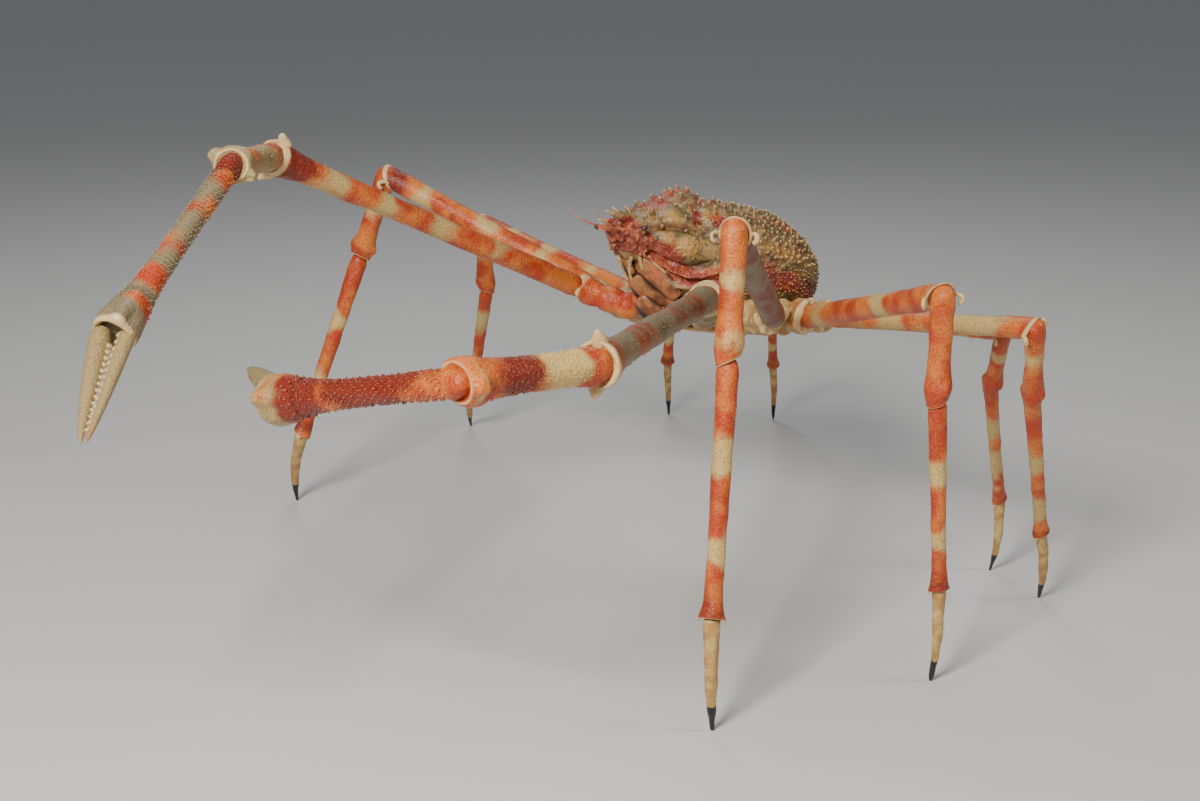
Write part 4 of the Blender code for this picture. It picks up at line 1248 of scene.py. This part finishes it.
def shield_finish():
    """The shell of the shield, its spines, horns and knobs."""
    finish, shader, wire = new_finish("carapace_shell")
    colour = wire.noise(55.0, 6.0).step(0.38, 0.62).blend(SHIELD_OLIVE, SHIELD_BUFF)
    blush = wire.noise(30.0, 4.0).step(0.55, 0.72) * 0.7
    colour = blush.blend(colour, SHIELD_SALMON)
    tan = (wire.mark("tan") + (wire.noise(70.0, 4.0) - 0.5) * 0.6).step(0.25, 0.75)
    colour = tan.blend(colour, SHIELD_TAN)
    salmon = wire.noise(60.0, 5.0).step(0.40, 0.58).blend(SHIELD_SALMON, SHIELD_CRIMSON)
    red = (wire.mark("red") + (wire.noise(85.0, 5.0) - 0.5) * 1.0).step(0.30, 0.70)
    colour = red.blend(colour, salmon)
    grains = wire.noise(340.0, 3.0)
    colour = (grains.step(0.54, 0.64) * 0.50).blend(colour, SHIELD_TAN)
    colour = (grains.step(0.46, 0.36) * 0.60).blend(colour, SHIELD_MAROON)
    colour = (wire.mark("deep") * 0.9).blend(colour, SHIELD_MAROON)
    pits = wire.cells(150.0).step(0.34, 0.62) * (wire.mark("rough") * 0.45 + 0.10)
    colour = pits.blend(colour, SHIELD_MAROON)
    colour = wire.mark("rim").step(0.10, 0.85).blend(colour, SPINE_CREAM)
    join_to(shader, "Base Color", colour)
    height = wire.noise(170.0, 5.0) * 0.8 - wire.cells(150.0) * (wire.mark("rough") * 0.9 + 0.15)
    roughen_finish(shader, wire, wire.noise(120.0, 3.0) * 0.30 + 0.30, height, 0.9, 0.0030)
    return finish


shell_paint = shield_finish()
for piece in (shield, shield_spines, face_horns, face_knobs):
    settle(piece, "carapace", shell_paint)

# Mouth: on each side long horny plates with dark edges, which close the mouth like doors, and
# their jointed feelers. Each is a straight form laid along a line of body points.
PLATE_STEPS = (
    (0.0, 0.3), (0.03, 0.7), (0.12, 0.95), (0.3, 1.04), (0.55, 1.0), (0.8, 0.9), (0.93, 0.72),
    (1.0, 0.35),
)
FEELER_STEPS = (
    (0.0, 1.1), (0.1, 1.0), (0.28, 0.92), (0.33, 1.12), (0.38, 0.95), (0.62, 0.82), (0.66, 0.98),
    (0.71, 0.78), (0.94, 0.55), (1.0, 0.25),
)
MOUTH_NORMAL = (0.58, 0.72, -0.38)
# Each, in millimetres: form, line of body points, half width, half thickness
MOUTH_PARTS = (
    ("plate", ((16, 126, -17), (23, 114, -26), (31, 101, -38), (38, 88, -50), (41, 76, -61)), 14.8, 4.2),
    ("plate", ((5, 124, -38), (9, 112, -50), (14, 98, -60), (22, 80, -68), (32, 64, -71)), 12.8, 4.6),
    ("plate", ((5, 112, -64), (11, 99, -76), (21, 80, -85), (34, 62, -86)), 12, 5.2),
    ("plate", ((3, 136, -16), (4, 130, -24), (6, 124, -34)), 6, 5.5),
    ("feeler", ((15, 136, -12), (9, 134, -20), (6, 131, -30), (4, 125, -43)), 3, 3),
    ("feeler", ((23, 130, -10), (22, 126, -18), (19, 120, -29)), 3, 3),
    ("feeler", ((30, 122, -9), (33, 113, -17), (38, 102, -27), (45, 88, -40)), 3, 2.6),
)
PLATE_EDGE = rgb(0.030, 0.012, 0.007)
# Where a plate's dark edge starts, as a share of its half width, and how wide it fades in
EDGE_FROM = 0.62
EDGE_FADE = 0.25


def mouth_finish(name, dark, light):
    """Horn mottled between two colours, with salmon patches, dark grains and dark plate edges."""
    finish, shader, wire = new_finish(name)
    colour = wire.noise(65.0, 5.0).step(0.36, 0.62).blend(dark, light)
    colour = (wire.noise(30.0, 3.0).step(0.52, 0.66) * 0.7).blend(colour, SHIELD_SALMON)
    colour = (wire.noise(320.0, 2.0).step(0.55, 0.66) * 0.5).blend(colour, SHIELD_MAROON)
    colour = (wire.mark("edge") * 0.94).blend(colour, PLATE_EDGE)
    join_to(shader, "Base Color", colour)
    roughness = wire.noise(120.0, 3.0) * 0.25 + 0.32
    roughen_finish(shader, wire, roughness, wire.noise(170.0, 5.0), 0.6, 0.0016)
    return finish


def on_body(form, name, line, out, width, thickness, side):
    """A form laid along body points in millimetres."""
    piece = laid(form, name, line, out, width, thickness, side)
    piece.data.transform(Matrix.Scale(MM, 4))
    return piece


plate_form = drawn_form("plate_form", PLATE_STEPS, 14)
feeler_form = drawn_form("feeler_form", FEELER_STEPS, 8)
soften(plate_form, 2)
from_middle = np.abs(points_of(plate_form)[:, 0])
write_marks(plate_form, {"edge": np.clip((from_middle - EDGE_FROM) / EDGE_FADE, 0, 1)})
soften(feeler_form, 1)
unit_forms = {"plate": plate_form, "feeler": feeler_form}
mouth_paint = mouth_finish("mouth_plate", rgb(0.13, 0.036, 0.010), rgb(0.34, 0.135, 0.034))
feeler_paint = mouth_finish("mouth_feeler", rgb(0.34, 0.20, 0.075), rgb(0.52, 0.34, 0.145))
for side, letter in ((1, "L"), (-1, "R")):
    for k, (kind, line, width, thickness) in enumerate(MOUTH_PARTS):
        name = "maxilliped_%s_%s_%d" % (letter, kind, k + 1)
        piece = on_body(unit_forms[kind], name, line, MOUTH_NORMAL, width, thickness, side)
        paint = mouth_paint if kind == "plate" else feeler_paint
        settle(piece, "maxilliped_" + letter, paint)

# Antennae: a stout three-jointed base and a thin lash that curves up. Eyes: a short red stalk
# with a dark glossy cornea in the socket. Their lines are in millimetres.
ANTENNA_BASE = ((12, 142, 20), (15, 157, 22), (18, 170, 25))
ANTENNA_LASH = ((18, 168, 25), (20, 180, 27), (22, 192, 31), (24, 203, 37), (26, 212, 45))
LASH_STEPS = ((0.0, 1.0), (0.3, 0.75), (0.6, 0.5), (0.9, 0.3), (1.0, 0.1))
EYE_STALK = ((28, 130, 19), (40, 139, 22), (48, 145, 24))
STALK_STEPS = ((0.0, 0.9), (0.3, 0.8), (0.7, 1.0), (0.95, 1.15), (1.0, 0.9))
CORNEA_PLACE = (0.0495, 0.1465, 0.0245)
CORNEA_SIZE = 0.0040
EYE_NORMAL = (0.3, 0.2, 1.0)

lash_form = drawn_form("lash_form", LASH_STEPS, 8)
stalk_form = drawn_form("stalk_form", STALK_STEPS, 10)
soften(stalk_form, 1)
antenna_paint = mouth_finish("antenna_horn", rgb(0.50, 0.10, 0.045), rgb(0.66, 0.30, 0.17))
cornea_paint, cornea_shader, cornea_wire = new_finish("eye_cornea")
facets = cornea_wire.cells(1400.0).step(0.2, 0.6)
join_to(cornea_shader, "Base Color", facets.blend(rgb(0.020, 0.008, 0.006), rgb(0.055, 0.018, 0.012)))
cornea_shader.inputs["Roughness"].default_value = 0.10
cornea_shader.inputs["Coat Weight"].default_value = 0.6
for side, letter in ((1, "L"), (-1, "R")):
    base = on_body(feeler_form, "antenna_base_" + letter, ANTENNA_BASE, EYE_NORMAL, 3.6, 3.2, side)
    lash = on_body(lash_form, "antenna_lash_" + letter, ANTENNA_LASH, EYE_NORMAL, 1.4, 1.4, side)
    for piece in (base, lash):
        settle(piece, "antenna_" + letter, antenna_paint)
    stalk = on_body(stalk_form, "eye_stalk_" + letter, EYE_STALK, EYE_NORMAL, 3.6, 3.6, side)
    settle(stalk, "eye_" + letter, antenna_paint)
    centre = (side * CORNEA_PLACE[0], -CORNEA_PLACE[1], CORNEA_PLACE[2])
    bpy.ops.mesh.primitive_uv_sphere_add(segments=20, ring_count=12, radius=CORNEA_SIZE, location=centre)
    cornea = bpy.context.object
    cornea.name = "eye_cornea_" + letter
    bpy.ops.object.transform_apply(location=True, rotation=False, scale=False)
    settle(cornea, "eye_" + letter, cornea_paint)

# Belly: a broad breastplate of fused plates with a groove between each pair of legs, and the
# abdomen folded flat under it, its segments divided by creases. Grooves are in millimetres.
BREAST_LEVELS = (-0.059, -0.098)
BREAST_STATIONS = (
    (-0.116, 0.05), (-0.104, 0.086), (-0.08, 0.108), (-0.045, 0.12), (-0.01, 0.12), (0.025, 0.106),
    (0.048, 0.078), (0.062, 0.036),
)
BREAST_RELIEF = (
    (((0, 36, -98), (60, 34, -94), (110, 44, -78)), 4, -4),
    (((0, -8, -98), (60, -8, -94), (125, -8, -78)), 4, -4),
    (((0, -50, -98), (60, -50, -94), (125, -52, -78)), 4, -4),
    (((0, -86, -98), (55, -88, -94), (100, -96, -78)), 4, -4),
    (((0, 60, -98), (0, 30, -100)), 3, -3),
)
ABDOMEN_LEVELS = (-0.096, -0.1065)
ABDOMEN_STATIONS = (
    (-0.114, 0.02), (-0.106, 0.032), (-0.085, 0.036), (-0.055, 0.03), (-0.02, 0.024), (0.01, 0.018),
    (0.026, 0.009),
)
ABDOMEN_CREASES = (-96, -78, -58, -36, -12)
CREASE_WIDTH = 2.2
CREASE_DEPTH = -2.0
SLAB_POWER = 0.45


def slab(name, stations, levels, segments, rings):
    """A rounded slab: a sphere drawn out to an outline of half widths, flat above and below."""
    piece = lying_sphere(name, segments, rings)
    middle = (levels[0] + levels[1]) / 2
    half = (levels[0] - levels[1]) / 2
    for point, forward, flat, angle in sphere_points(piece, stations):
        across = abs(cos(angle)) ** SLAB_POWER * (1 if cos(angle) > 0 else -1)
        rise = abs(sin(angle)) ** SLAB_POWER * (1 if sin(angle) > 0 else -1)
        wide = smooth_value(stations, forward, 1) if flat > POLE else 0
        point.co = (across * wide, -forward, middle + rise * half * flat ** SLAB_POWER)
    return piece


def crease(piece, relief):
    """Presses the lines of a relief into a piece."""
    shape = points_of(piece)
    depths = np.zeros(len(shape))
    for line, width, height in relief:
        depths += near_line(shape, line, width) * height * MM
    set_points(piece, shape + ways_of(piece) * depths[:, None])


belly_paint = mouth_finish("belly_shell", rgb(0.40, 0.20, 0.075), rgb(0.58, 0.37, 0.155))
breastplate = slab("breastplate_shell", BREAST_STATIONS, BREAST_LEVELS, 72, 56)
soften(breastplate, 1)
crease(breastplate, BREAST_RELIEF)
settle(breastplate, "breastplate", belly_paint)
abdomen = slab("abdomen_shell", ABDOMEN_STATIONS, ABDOMEN_LEVELS, 40, 48)
soften(abdomen, 1)
creases = [(((0, at, -107), (30, at, -104)), CREASE_WIDTH, CREASE_DEPTH) for at in ABDOMEN_CREASES]
crease(abdomen, creases)
settle(abdomen, "abdomen", belly_paint)
spent = (spine_form, horn_form, knob_form, tubercle_form, plate_form, feeler_form, lash_form, stalk_form)
for form in spent:
    bpy.data.objects.remove(form, do_unlink=True)

low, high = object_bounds()
sizes = {"solid": [list(solid_low), list(solid_high)], "shown": [list(low), list(high)]}
